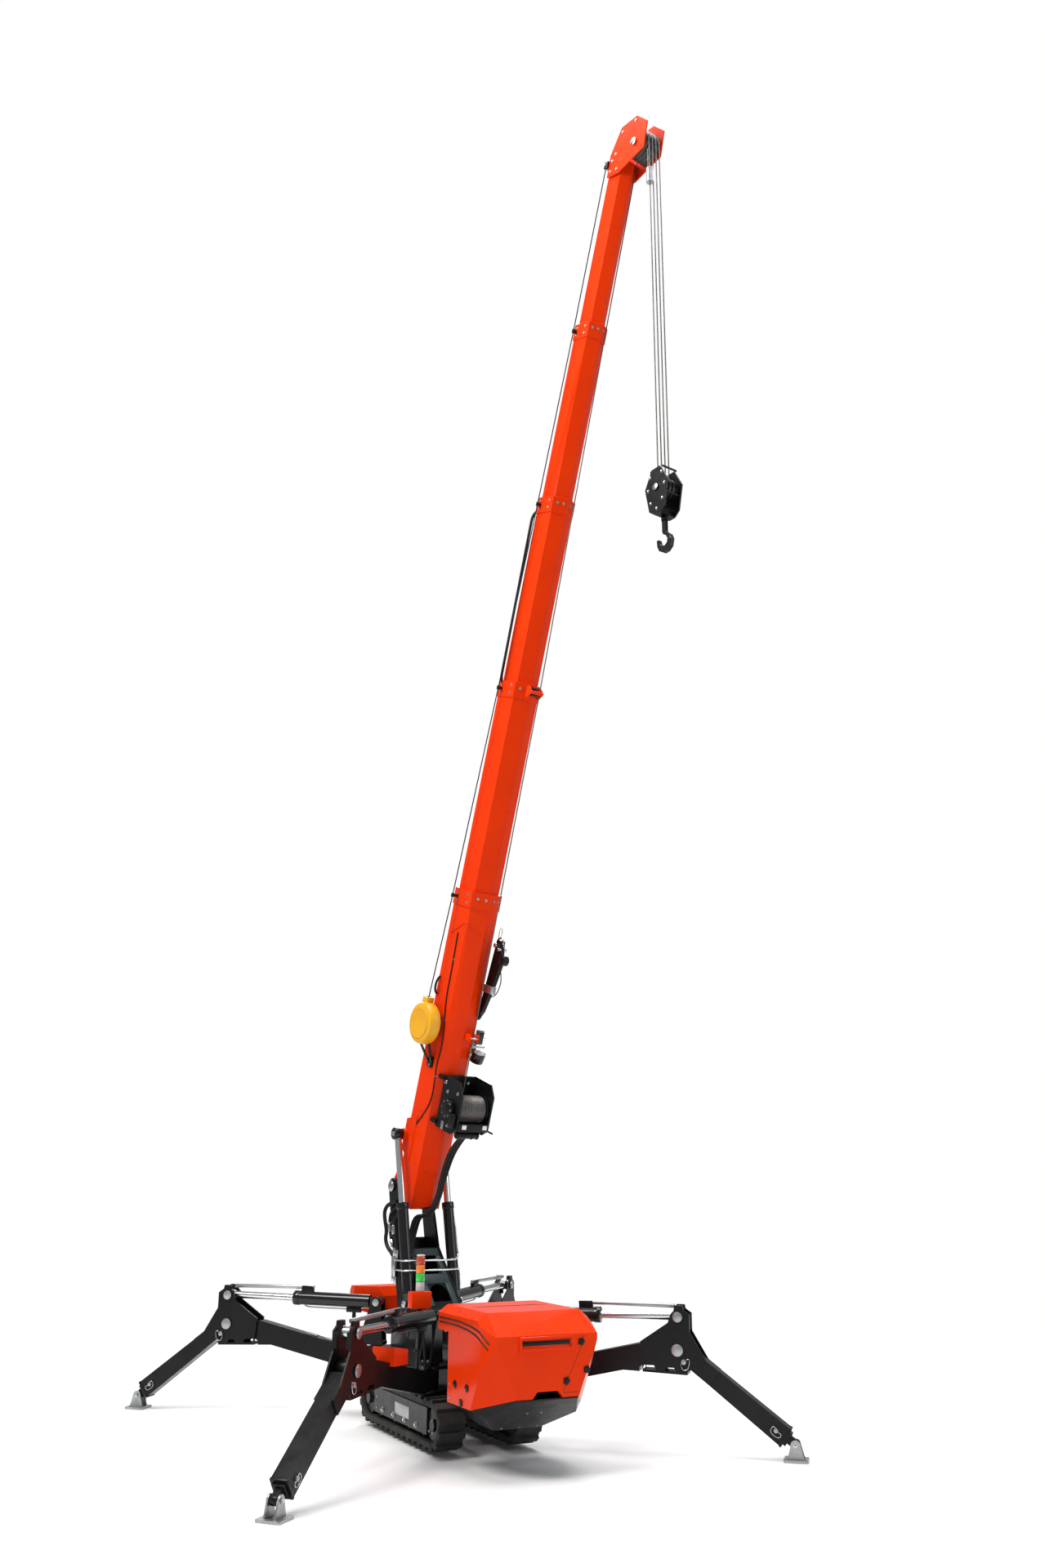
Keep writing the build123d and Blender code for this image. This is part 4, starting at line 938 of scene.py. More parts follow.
def build_winch_fittings():
    """Bolts, plates, manifold, lever and caps of the winch, and the rope's roller above it."""
    face, gear_face = WINCH_SIDE + 0.150, WINCH_SIDE - 0.150
    bolts("Winch bolts", all_seen("winch_frame", ((546, 1325), (573.5, 1327))), "bright",
          0.011, 0.008)
    manifold = [cross_bar(0.585, 0.555, -0.155, 0.050, 0.026, 0.004, 32)]
    manifold += [cross_bar(0.585, 0.555, at, at + 0.012, 0.030, 0.002, 32)
                 for at in (-0.150, -0.100, -0.030, 0.030)]
    settle(join(manifold), "Winch manifold", "boom_base", "black")
    boom_bars(
        ("Winch tie", "black", (0.640, 0.600), (-0.190, 0.100), 0.014, 0.002, 24, None),
        ("Winch motor flange", "black", WINCH, (face, face + 0.034), 0.072, 0.008, 48,
         (0.016, 0.008)),
        ("Winch gear cover", "black", WINCH, (gear_face, gear_face - 0.030), 0.085, 0.010, 48,
         (0.020, 0.006)),
        # Roller that leads the rope up the boom
        ("Rope roller", "bright", (1.300, 0.4055), (-0.085, -0.015), 0.007, 0.001, 24, None),
    )
    lever_ends = on_boom(0.640, 0.600, -0.190), on_boom(0.625, 0.640, -0.232)
    settle(round_bar(*lever_ends, 0.007, 0.002, 16), "Winch lever", "boom_base", "black")
    plate, ear = (0.034, 0.040, 0.002), (0.090, 0.052, 0.006)
    boom_blocks(
        ("Brake housing", "black", (0.700, 0.575, 0.122), (0.110, 0.062, 0.034), SIDE_ON, 0.010),
        ("Winch side plate", "zinc", (0.625, 0.430, 0.1065), (0.062, 0.034, 0.003), SIDE_ON, 0.001),
        ("Winch cover bar", "black", (0.662, 0.628, -0.045), (0.060, 0.276, 0.010), DROP_ON, 0.003),
        ("Blank plate 1", "bright", (0.668, 0.634, 0.040), plate, DROP_ON, 0.0006),
        ("Blank plate 2", "bright", (0.668, 0.634, -0.150), plate, DROP_ON, 0.0006),
        ("Roller ear 1", "roller ear", (1.300, 0.370, -0.088), ear, (LEFTWARD, BOOM_DROP), 0.002),
        ("Roller ear 2", "roller ear", (1.300, 0.370, -0.012), ear, (LEFTWARD, BOOM_DROP), 0.002),
    )
    places = on_side(((0.880, 0.420), (0.900, 0.560), (0.640, 0.500)), face)
    bolts("Winch side bolts", places, "zinc", 0.010, 0.008)
    ring = [(on_boom(*WINCH, face + 0.034) + outward(2 * pi * index / 8) * 0.060, LEFTWARD)
            for index in range(8)]
    bolts("Winch flange bolts", ring, "zinc", 0.005, 0.004)


def build_lamps():
    """The two work lamps on their galvanised bracket, and the stowed hook's clamp and lever."""
    bracket = [block(on_boom(*spot), size, *SIDE_ON) for spot, size in (
        ((1.213, 0.270, -0.186), (0.016, 0.052, 0.118)),
        ((1.222, 0.262, -0.168), (0.150, 0.012, 0.036)))]
    settle(join(bracket), "Lamp bracket", "boom_base", "zinc")
    middle = on_boom(1.150, 0.318, -0.182)
    tilt = (TRUE_UP * 0.86 + BOOM_DROP * 0.5).normalized()
    shell = round_bar(middle - tilt * 0.052, middle + tilt * 0.026, 0.054, 0.020, 40,
                      (0.006, -0.004))
    settle(shell, "Round work lamp", "boom_base", "gloss")
    glass = round_bar(middle + tilt * 0.020, middle + tilt * 0.029, 0.044, 0.003, 40)
    settle(glass, "Round lamp glass", "boom_base", "lamp white")
    fins = [block(on_boom(1.290 + shift, 0.294, -0.210), (0.004, 0.024, 0.046), *DROP_ON, 0.001)
            for shift in (-0.042, -0.021, 0.0, 0.021, 0.042)]
    settle(join(fins), "Lamp fins", "boom_base", "zinc")
    leaning = (BOOM_DROP - BOOM_RUN * 0.35, BOOM_RUN)
    boom_blocks(
        ("Square work lamp", "grey", (1.290, 0.294, -0.176), (0.118, 0.056, 0.052), DROP_ON, 0.012),
        ("Square lamp face", "gloss", (1.290, 0.318, -0.176), (0.092, 0.044, 0.008), DROP_ON,
         0.003),
        ("Stow lever", "black", (1.955, 0.395, -0.150), (0.036, 0.034, 0.120), leaning, 0.006),
        ("Stow clamp", "zinc", (1.685, 0.332, -0.150), (0.062, 0.128, 0.046), SIDE_ON, 0.004),
    )
    boom_bars(
        ("Stow lever eye", "black", (1.935, 0.452), (-0.176, -0.124), 0.040, 0.005, 36,
         (0.012, -0.006)),
        ("Stow roller 1", "bright", (2.035, 0.345), (-0.188, -0.112), 0.019, 0.003, 28,
         (0.006, 0.003)),
        ("Stow roller 2", "bright", (2.010, 0.398), (-0.188, -0.112), 0.015, 0.003, 28,
         (0.006, 0.003)),
    )
    boom_hoses(
        ("Stow shackle", "bright", 0.008, (
            (2.015, 0.312, -0.150), (2.080, 0.322, -0.150), (2.104, 0.350, -0.150),
            (2.090, 0.386, -0.150), (2.030, 0.425, -0.150))),
        ("Stow wire loop", "bright", 0.003, (
            (2.090, 0.330, -0.150), (2.150, 0.312, -0.150), (2.180, 0.338, -0.150),
            (2.150, 0.366, -0.150), (2.096, 0.352, -0.150))),
        ("Stow cable", "rubber", 0.004, (
            (1.620, 0.335, -0.168), (1.640, 0.395, -0.174), (1.710, 0.430, -0.176),
            (1.790, 0.438, -0.174), (1.850, 0.410, -0.168))),
    )
    places = on_side(((1.500, 0.292), (1.900, 0.400), (2.030, 0.370)), -0.1665)
    bolts("Stow bolts", places, "bright", 0.010, 0.008)


def beside_barrel(height, ahead, side):
    """A point at a height, a distance ahead of the lift barrels' middle line and sideways."""
    middle = LIFT_BASE[0] - LIFT_LEAN * (height - LIFT_BASE[1])
    return in_plane(SLEW, ahead + middle, height, side)


def build_lift_fittings():
    """Pin caps, glands, pipes and the valve block of the lift cylinders."""
    for side in (-1, 1):
        out = LEFTWARD * side
        cap(f"Foot pin cap {side}", in_plane(SLEW, *FOOT_PIN, side * 0.168), out, 0.010, 0.040,
            "post", "bright", 40, step=(0.010, 0.004))
        cap(f"Lift base cap {side}", in_plane(SLEW, *LIFT_BASE, side * 0.254), out, 0.008, 0.027,
            "post", "bright", step=(0.007, 0.003))
        base = in_plane(SLEW, *LIFT_BASE, side * LIFT_SIDE)
        top = in_plane(SLEW, *LIFT_TOP, side * LIFT_SIDE)
        cap(f"Lift top cap {side}", top - out * 0.030, out, 0.066, 0.047, "lift_rods", "gloss", 40,
            0.008, (0.010, 0.004))
        bolts(f"Lift top bolt {side}", [(top + out * 0.040, out)], "bright", 0.014, 0.010,
              "lift_rods")
        along = (top - base).normalized()
        gland = round_bar(base + along * 0.678, base + along * 0.729, 0.0475, 0.004, 40)
        settle(gland, f"Lift gland {side}", "lift_barrels", "cylinder")
        line = [base + along * far - SLEW[1] * off for far, off in (
            (0.130, 0.046), (0.150, 0.055), (0.400, 0.055), (0.640, 0.055), (0.665, 0.044))]
        hose(line, 0.006, f"Lift pipe {side}", "lift_barrels", "chrome")
    # Rigid pipes across the post's front web, with bends at the right
    for number, height, bend in ((1, 1.182, 1.500), (2, 1.112, 0.950)):
        rise = bend - height
        pipe = [in_plane(SLEW, reach, height, side) for reach, side in (
            (-0.262, 0.197), (-0.220, 0.262), (-0.120, 0.268), (-0.030, 0.255), (0.018, 0.120),
            (0.010, -0.150))]
        pipe += [beside_barrel(height + rise * share, ahead, side) for share, ahead, side in (
            (0, 0.050, -0.215), (0.06, 0.022, -0.256), (0.25, 0.006, -0.2615),
            (0.5, 0.006, -0.2615), (0.75, 0.006, -0.2615), (1, 0.003, -0.250))]
        hose(pipe, 0.007, f"Cross pipe {number}", "lift_barrels", "chrome")
    valve = [block(in_plane(SLEW, -0.285, 1.128, 0.197), (0.058, 0.042, 0.150), across=SLEW[1],
                   rounding=0.005)]
    for reach, low, high, radius in (
        (-0.298, 1.190, 1.262, 0.018), (-0.264, 1.190, 1.246, 0.018),
        (-0.276, 1.000, 1.056, 0.016), (-0.300, 1.020, 1.060, 0.020),
    ):
        ends = [in_plane(SLEW, reach, height, 0.197) for height in (low, high)]
        valve.append(round_bar(*ends, radius, 0.002, 6))
    settle(join(valve), "Valve block", "lift_barrels", "bright")


def build_post_fittings():
    """Plates on the post's front web that carry a painted sky reflection, and the hoses with their
    couplings at its left.
    """
    # Blue-grey plates round the web's two openings, a painted sky reflection where the web faces
    # forward and up: side, distance up, width, height
    slope = (TRUE_UP * 0.770 - SLEW[1] * 0.638).normalized()
    out = (TRUE_UP * 0.638 + SLEW[1] * 0.770).normalized()
    reflection_plates = []
    for side, up, wide, tall in (
        (-0.106, 0.122, 0.046, 0.190), (0.106, 0.122, 0.046, 0.190), (0.0, 0.256, 0.258, 0.080),
        (-0.110, 0.378, 0.036, 0.160), (0.110, 0.378, 0.036, 0.160), (0.0, 0.493, 0.258, 0.060),
    ):
        outside = in_plane(SLEW, 0.130, 0.850, side) + slope * up + out * 0.3
        spot = onto("slewing_post", outside, -out)[0]
        reflection_plates.append(block(spot, (wide, 0.005, tall), slope, LEFTWARD, 0.0015))
    settle(join(reflection_plates), "Web facings", "post", "blue")
    routes = (
        (0.015, ((-0.350, 1.600, 0.160), (-0.430, 1.585, 0.184), (-0.470, 1.535, 0.198),
                 (-0.455, 1.470, 0.204), (-0.415, 1.380, 0.204), (-0.435, 1.322, 0.204),
                 (-0.400, 1.262, 0.204), (-0.320, 1.215, 0.202), (-0.300, 1.180, 0.198))),
        (0.011, ((-0.340, 1.560, 0.160), (-0.390, 1.530, 0.186), (-0.395, 1.460, 0.196),
                 (-0.372, 1.370, 0.200), (-0.340, 1.290, 0.198), (-0.298, 1.250, 0.197))),
        (0.011, ((-0.310, 1.520, 0.160), (-0.335, 1.480, 0.184), (-0.330, 1.400, 0.196),
                 (-0.290, 1.310, 0.198), (-0.264, 1.235, 0.197))),
    )
    for number, (radius, route) in enumerate(routes):
        points = [in_plane(SLEW, *spot) for spot in route]
        run = hose(points, radius, f"Post hose {number}", None, "rubber")
        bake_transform(run)
    for number, ends in enumerate((
        ((-0.393, 1.440), (-0.374, 1.375)), ((-0.331, 1.425), (-0.318, 1.360)),
        ((-0.352, 1.316), (-0.328, 1.270)),
    )):
        nut = round_bar(*[in_plane(SLEW, *end, 0.198) for end in ends], 0.0165, 0.002, 6)
        settle(nut, f"Hose coupling {number}", "post", "bright")
    # Hoses down the boom's belly, round the foot and into the post's left side
    for number, shift in ((1, -0.026), (2, 0.0), (3, 0.026)):
        side = -0.055 + shift
        points = [on_boom(*spot) for spot in (
            (0.640, 0.575 + shift * 0.3, side), (0.570, 0.520 + shift * 0.3, side),
            (0.470, 0.440, side), (0.360, 0.385, side), (0.180, 0.368, side * 0.8),
            (0.020, 0.376, side * 0.6), (-0.110, 0.350, 0.010 + shift))]
        points += [in_plane(SLEW, *spot) for spot in (
            (-0.200, 1.500, 0.060 + shift), (-0.215, 1.380, 0.090 + shift),
            (-0.190, 1.250, 0.115), (-0.170, 1.185 - 0.03 * number, 0.136))]
        run = hose(points, 0.011, f"Boom hose {number}", None, "rubber", 8)
        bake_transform(run)


def build_chassis_fittings():
    """Bolts of the slewing ring and of the outriggers' column plates."""
    ring = []
    for index in range(20):
        turn = 2 * pi * index / 20
        ring.append((SLEW[0] + Vector((cos(turn) * 0.232, sin(turn) * 0.232, 0.808)), TRUE_UP))
    bolts("Slewing ring bolts", ring, "zinc", 0.009, 0.008, "post")
    for corner, x_sign, y_sign in CORNERS:
        plane = leg_plane(x_sign, y_sign)
        places = [(in_plane(plane, reach, 0.572, side), TRUE_UP)
                  for reach in (-0.052, 0.128) for side in (-0.020, 0.020)]
        bolts(f"Column plate bolts {corner}", places, "zinc", 0.008, 0.007, "arm_" + corner)


TRACK_COVER_X = 0.3712


def build_track_fittings():
    """Bolts and blank plates of the track frames."""
    big = ((0.150, 0.153), (-0.064, 0.153), (-0.279, 0.153), (-0.492, 0.153))
    small = ((-0.733, 0.151), (-0.790, 0.150), (-0.790, 0.225), (0.270, 0.151), (0.270, 0.225))
    for side, sign in (("left", -1), ("right", 1)):
        x = sign * TRACK_COVER_X
        way = Vector((sign, 0, 0))
        for name, spots, coat, radius, height in (
            ("Track bolts", big, "bright", 0.014, 0.011),
            ("Track small bolts", small, "zinc", 0.007, 0.005),
        ):
            places = [(Vector((x, MIDDLE_Y + y, z)), way) for y, z in spots]
            bolts(f"{name} {side}", places, coat, radius, height, "chassis")
        plate = block((x + sign * 0.001, MIDDLE_Y - 0.228, 0.206), (0.270, 0.078, 0.003), way,
                      (0, 1, 0), 0.001)
        settle(plate, f"Track plate {side}", "chassis", "zinc")


def build_head_fittings():
    """Sensor roller, sheave rims, caps and bolts of the boom's head."""
    for side in (-1, 1):
        out = LEFTWARD * side
        cap(f"Sheave pin cap {side}", on_boom(*SHEAVES, side * 0.1025), out, 0.008, 0.030,
            "boom_5", "bright")
        places = on_side(((8.330, 0.110), (8.420, 0.110), (8.330, 0.190), (8.640, 0.180),
                          (8.690, 0.330), (8.470, 0.140)), side * 0.0945)
        bolts(f"Head bolts {side}", places, "zinc", 0.009, 0.007, "boom_5")
    bracket = block(on_boom(8.400, 0.050, 0.088), (0.060, 0.046, 0.046), *SIDE_ON, 0.004)
    settle(bracket, "Sensor bracket", "boom_5", "black")
    wheel = cross_bar(8.420, 0.020, 0.088, 0.112, 0.022, 0.004, 32, (0.006, -0.003))
    settle(wheel, "Sensor wheel", "boom_5", "bright")
    # Two rims on each of the four head sheaves
    rims = []
    for middle in FALL_SIDES:
        for rim in (-0.0125, 0.0125):
            clear_selection()
            bpy.ops.mesh.primitive_torus_add(
                location=on_boom(*SHEAVES, middle + rim), rotation=aim(LEFTWARD),
                major_radius=0.114, minor_radius=0.0035, major_segments=56, minor_segments=8)
            bpy.ops.object.shade_smooth()
            rims.append(bpy.context.object)
    settle(join(rims), "Sheave rims", "boom_5", "sheave")


def build_hook_fittings():
    """The falls, the limit switch weight's rims and wire, and the hook block's bolts."""
    low, high, middle = node_box("limit_switch_weight")
    for name, height in (("Weight lip", low.z + 0.004), ("Weight top", high.z - 0.010)):
        spot = Vector((middle.x, middle.y, height))
        settle(round_bar(spot, spot + TRUE_UP * 0.006, 0.0295, 0.002, 32), name, "falls", "zinc")
    wire = [Vector((middle.x, middle.y, high.z)) + LEFTWARD * side + TRUE_UP * up
            for side, up in ((0.020, -0.004), (0.020, 0.050), (0.014, 0.120), (0.018, 0.180))]
    hose(wire, 0.0025, "Weight wire", "falls", "bright")
    # The four falls, each a straight strand attached to no body
    low, high, middle = node_box("rope_falls")
    for number, side in enumerate(FALL_SIDES):
        top = Vector((middle.x, middle.y, high.z)) + LEFTWARD * side
        foot = Vector((middle.x, middle.y, low.z)) + LEFTWARD * side
        strand = hose(straight(top, foot, 12), FALL_RADIUS, f"Fall {number + 1}", None, "rope")
        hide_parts("rope_falls")
        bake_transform(strand)
    # Hook block: bolts and spacers on both cheeks
    middle = node_box("hook_block")[2]
    for side in (-1, 1):
        out = LEFTWARD * side
        face = Vector((middle.x, middle.y, 0)) + out * 0.0765
        places = [(face + SLEW[1] * reach + TRUE_UP * height, out) for reach, height in (
            (-0.060, 6.640), (0.060, 6.640), (-0.085, BLOCK_PIN_HEIGHT), (0.085, BLOCK_PIN_HEIGHT),
            (-0.060, 6.430), (0.060, 6.430), (0.0, 6.370))]
        bolts(f"Block bolts {side}", places, "bright", 0.009, 0.007, "hook_block")
        hub = face + TRUE_UP * BLOCK_PIN_HEIGHT + out * 0.004
        cap(f"Block pin cap {side}", hub, out, 0.010, 0.026, "hook_block", "bright")
    for number, (reach, height) in enumerate((
        (-0.063, 6.690), (0.063, 6.690), (-0.0828, 6.480), (0.0828, 6.480),
    )):
        start = Vector((middle.x, middle.y, height)) + SLEW[1] * reach
        bar = round_bar(start - LEFTWARD * 0.066, start + LEFTWARD * 0.066, 0.008, 0.001, 20)
        settle(bar, f"Block spacer {number}", "hook_block", "black")


def build_leg_box_fittings(corner, plane, near):
    """Lock pins with wire handles, and the collar at the mouth of one outrigger's leg box."""
    outer, across = "outer_leg_" + corner, plane[2]
    along = (plane[1] * 0.768 - TRUE_UP * 0.559).normalized()
    over = (plane[1] * 0.559 + TRUE_UP * 0.768).normalized()
    knee = in_plane(plane, *KNEE_PIN)
    for side in (-1, 1):
        for name, place, height, radius in (
            ("Lock pin", in_plane(plane, 1.300, 0.586, side * 0.066), 0.016, 0.017),
            ("End pin", knee + along * 0.800 + across * side * 0.054, 0.014, 0.015),
        ):
            cap(f"{name} {corner} {side}", place, across * side, height, radius, outer, "zinc", 28,
                0.003, (0.005, 0.003))
    wire = [in_plane(plane, reach, height, near * side) for reach, height, side in (
        (1.318, 0.600, 0.079), (1.345, 0.618, 0.081), (1.334, 0.545, 0.083),
        (1.300, 0.530, 0.083), (1.278, 0.560, 0.081), (1.284, 0.580, 0.079))]
    hose(wire, 0.0025, f"Lock wire {corner}", outer, "bright")
    base = knee + along * 0.800 + across * near * 0.066
    wire = [base + along * a + over * b for a, b in (
        (0.012, 0.0), (0.040, 0.012), (0.046, -0.030), (-0.030, -0.034), (-0.034, 0.020),
        (-0.008, 0.012))]
    hose(wire, 0.0025, f"End wire {corner}", outer, "bright")
    mouth = knee + along * 0.872
    lips = [block(mouth + over * b + across * a, (wide, tall, 0.016), along, across, 0.002)
            for a, b, wide, tall in (
                (0.0, 0.0665, 0.114, 0.005), (0.0, -0.0665, 0.114, 0.005),
                (0.0555, 0.0, 0.005, 0.134), (-0.0555, 0.0, 0.005, 0.134))]
    settle(join(lips), f"Leg mouth {corner}", outer, "black")
    if corner == GUARDED_CORNER:
        strip = block(knee + along * 0.600 + across * 0.0565, (0.005, 0.060, 0.130), along, across,
                      0.002)
        settle(strip, "Reflector", outer, "orange")


def build_leg_cylinder_fittings(corner, plane):
    """The gland, guard tube, clamp, pipe and valve on one outrigger's cylinder barrel."""
    barrel = "leg_barrel_" + corner
    run, rise = HORN_PIN[0], HORN_PIN[1] - ARM_PIN_HEIGHT
    along = (plane[1] * run + TRUE_UP * rise).normalized()
    over = (TRUE_UP * run - plane[1] * rise).normalized()
    foot = in_plane(plane, 0, ARM_PIN_HEIGHT)

    def spot(distance, height):
        return foot + along * distance + over * height

    for name, coat, start, end, radius, rounding, sides in (
        ("Leg gland", "cylinder", (0.660, 0), (0.708, 0), 0.0545, 0.004, 40),
        ("Guard tube", "zinc", (0.548, 0.084), (1.236, 0.066), 0.014, 0.002, 28),
    ):
        bar = round_bar(spot(*start), spot(*end), radius, rounding, sides)
        settle(bar, f"{name} {corner}", barrel, coat)
    for name, place, size in (
        ("Tube clamp", (0.600, 0.066), (0.052, 0.034, 0.100)),
        ("Barrel valve", (0.200, -0.066), (0.036, 0.034, 0.120)),
    ):
        settle(block(spot(*place), size, along, over, 0.004), f"{name} {corner}", barrel, "black")
    pipe = [spot(*place) for place in (
        (0.120, -0.040), (0.140, -0.062), (0.300, -0.064), (0.560, -0.064), (0.610, -0.060),
        (0.625, -0.046))]
    hose(pipe, 0.006, f"Barrel pipe {corner}", barrel, "bright")


def build_leg_fittings():
    """Every outrigger's box and cylinder fittings, its arm's hoses and plates, its foot bolts."""
    arm_slope = 0.215
    for corner, x_sign, y_sign in CORNERS:
        plane = leg_plane(x_sign, y_sign)
        arm = "arm_" + corner
        build_leg_box_fittings(corner, plane, near=x_sign)
        build_leg_cylinder_fittings(corner, plane)
        for side in (-1, 1):
            out = plane[2] * side
            face = in_plane(plane, 0, ARM_PIN_HEIGHT, side * 0.0545)
            cap(f"Barrel pin cap {corner} {side}", face, out, 0.007, 0.027, arm, "zinc",
                step=(0.007, 0.002))
            places = [(in_plane(plane, *FOOT_BOLT, side * 0.0460), out)]
            bolts(f"Foot bolt {corner} {side}", places, "bright", 0.011, 0.008, "pad_" + corner)
        # Hoses from the column to the barrel's valve, and plates on the arm's back
        for number, side in ((1, 0.030), (2, -0.030)):
            route = [in_plane(plane, reach, height, side * share) for reach, height, share in (
                (0.185, 0.522, 1.0), (0.188, 0.560, 1.0), (0.196, 0.640, 0.9),
                (0.200, 0.740, 0.6), (0.200, 0.775, 0.5))]
            hose(route, 0.0085, f"Leg hose {corner} {number}", arm, "rubber")
        for number, reach in ((1, 0.380), (2, 0.545)):
            if corner == GUARDED_CORNER and number == 2:
                continue
            height = 0.509 + (reach - 0.118) * arm_slope
            pad = block(in_plane(plane, reach, height), (0.100, 0.060, 0.006),
                        TRUE_UP - plane[1] * arm_slope, plane[1], 0.002)
            settle(pad, f"Arm plate {corner} {number}", arm, "grey")


# Stage and camera ---------------------------------------------------------------------------------

def build_stage(look):
    """A pale floor, white where the camera sees past it."""
    clear_selection()
    bpy.ops.mesh.primitive_plane_add(size=1, location=(0, 0, 0))
    floor = bpy.context.object
    floor.scale = (60, 60, 1)
    bpy.ops.object.transform_apply(scale=True)
    floor.name = "Studio floor"
    material = bpy.data.materials.new("Studio floor")
    material.use_nodes = True
    tree = material.node_tree
    shader = tree.nodes["Principled BSDF"]
    place = node(tree, "ShaderNodeTexCoord").outputs["Object"]
    tone = blend_colour(tree, noise(tree, place, 3.0), (0.84, 0.84, 0.84, 1), (0.88, 0.88, 0.88, 1))
    tree.links.new(tone, shader.inputs["Base Color"])
    shader.inputs["Roughness"].default_value = 0.8
    # Far from the crane the camera sees plain white
    away = node(tree, "ShaderNodeVectorMath", operation="LENGTH")
    tree.links.new(place, away.inputs[0])
    far = stretch(tree, away.outputs["Value"], 3.6, 8.5)
    far.node.interpolation_type = "SMOOTHSTEP"
    rays = node(tree, "ShaderNodeLightPath")
    white = node(tree, "ShaderNodeEmission", values={"Color": (1, 1, 1, 1), "Strength": 1.0})
    choice = node(tree, "ShaderNodeMixShader")
    tree.links.new(maths(tree, "MULTIPLY", far, rays.outputs["Is Camera Ray"]), choice.inputs[0])
    tree.links.new(shader.outputs[0], choice.inputs[1])
    tree.links.new(white.outputs[0], choice.inputs[2])
    tree.links.new(choice.outputs[0], tree.nodes["Material Output"].inputs["Surface"])
    floor.data.materials.append(material)
    world = bpy.data.worlds.new("Studio")
    bpy.context.scene.world = world
    world.use_nodes = True
    tree = world.node_tree
    for old in list(tree.nodes):
        tree.nodes.remove(old)
    out = node(tree, "ShaderNodeOutputWorld")
    sky = node(tree, "ShaderNodeBackground",
               values={"Color": (0.93, 0.96, 1.0, 1), "Strength": 0.34})
    backdrop = node(tree, "ShaderNodeBackground",
                    values={"Color": (1, 1, 1, 1), "Strength": 1.0})
    rays = node(tree, "ShaderNodeLightPath")
    choice = node(tree, "ShaderNodeMixShader")
    tree.links.new(rays.outputs["Is Camera Ray"], choice.inputs[0])
    tree.links.new(sky.outputs[0], choice.inputs[1])
    tree.links.new(backdrop.outputs[0], choice.inputs[2])
    tree.links.new(choice.outputs[0], out.inputs[0])
    # name, place, aim point, size, power, colour
    lamps = (
        ("Key light", (-7.5, -1.5, 11.5), (0, 0, 2.0), 5.0, 1150.0, (1.0, 0.98, 0.95)),
        ("Fill light", (7.5, -7.0, 6.0), (0, 0, 2.6), 6.0, 240.0, (0.95, 0.97, 1.0)),
        ("Top light", (1.0, -1.0, 13.5), (0, 0, 0), 7.0, 1100.0, (1.0, 1.0, 1.0)),
        ("Rim light", (4.0, 8.5, 9.0), (0, 0, 3.5), 5.0, 700.0, (1.0, 1.0, 1.0)),
    )
    for name, place, target, size, power, colour in lamps:
        data = bpy.data.lights.new(name, "AREA")
        data.size = size
        data.energy = power * look.light
        data.color = colour
        lamp = add_object(name, data)
        lamp.location = place
        lamp.rotation_euler = (Vector(place) - Vector(target)).to_track_quat("Z", "Y").to_euler()


def place_camera(look):
    """The camera stands where the photograph's did."""
    data = bpy.data.cameras.new("Camera")
    data.sensor_width = SENSOR_MM
    data.sensor_fit = "VERTICAL"
    data.sensor_height = SENSOR_MM
    data.lens = look.lens
    data.shift_y = LENS_SHIFT
    data.clip_end = 200
    camera = add_object("Camera", data)
    turned = Matrix((CAMERA_RIGHT, CAMERA_UP, -CAMERA_AHEAD)).transposed()
    camera.matrix_world = turned.to_4x4()
    camera.location = CAMERA_SPOT
    bpy.context.scene.camera = camera
    bpy.context.scene.view_settings.view_transform = "Standard"


# Add-on --------------------------------------------------------------------------------------

FRAME = {}


class CraneLook(bpy.types.PropertyGroup):
    """Sizes and colours of the crane's looks."""
    orange: bpy.props.FloatVectorProperty(
        name="Orange", description="Colour of the boom and covers", subtype="COLOR",
        default=(0.80, 0.040, 0.002), min=0, max=1)
    yellow: bpy.props.FloatVectorProperty(
        name="Yellow", description="Colour of the cable reel", subtype="COLOR",
        default=(0.80, 0.40, 0.008), min=0, max=1)
    light: bpy.props.FloatProperty(
        name="Light", description="Strength of the studio lamps", default=1.0, min=0)
    lens: bpy.props.FloatProperty(
        name="Lens", description="Focal length", default=29.66, unit="CAMERA")


class Step:
    """What the operators share: each runs its builders in order."""
    builders = ()

    def execute(self, context):
        for build in self.builders:
            build()
        return {"FINISHED"}


class CRANE_OT_materials(bpy.types.Operator):
    """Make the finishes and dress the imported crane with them"""
    bl_idname = "crane.materials"
    bl_label = "Materials"

    def execute(self, context):
        build_materials(context.scene.crane_look)
        dress_nodes(FRAME)
        return {"FINISHED"}


class CRANE_OT_stack_light(Step, bpy.types.Operator):
    """Model the lamp column"""
    bl_idname = "crane.stack_light"
    bl_label = "Stack light"
    builders = (build_stack_light,)


class CRANE_OT_winch(Step, bpy.types.Operator):
    """Model the rope on the winch's drum, and the winch's fittings"""
    bl_idname = "crane.winch"
    bl_label = "Winch"
    builders = (build_rope_windings, build_winch_fittings)


class CRANE_OT_legs(Step, bpy.types.Operator):
    """Model the outriggers' fittings"""
    bl_idname = "crane.legs"
    bl_label = "Outriggers"
    builders = (build_pin_caps, build_leg_fittings)


class CRANE_OT_boom(Step, bpy.types.Operator):
    """Model the boom's fittings"""
    bl_idname = "crane.boom"
    bl_label = "Boom"
    builders = (build_boom_bolts, build_boom_lines)


class CRANE_OT_reel(Step, bpy.types.Operator):
    """Model the cable reel"""
    bl_idname = "crane.reel"
    bl_label = "Cable reel"
    builders = (build_cable_reel,)


class CRANE_OT_post(Step, bpy.types.Operator):
    """Model the fittings of the post, lift cylinders, lamps and stow bracket"""
    bl_idname = "crane.post"
    bl_label = "Post and cylinders"
    builders = (build_lift_fittings, build_post_fittings, build_lamps)


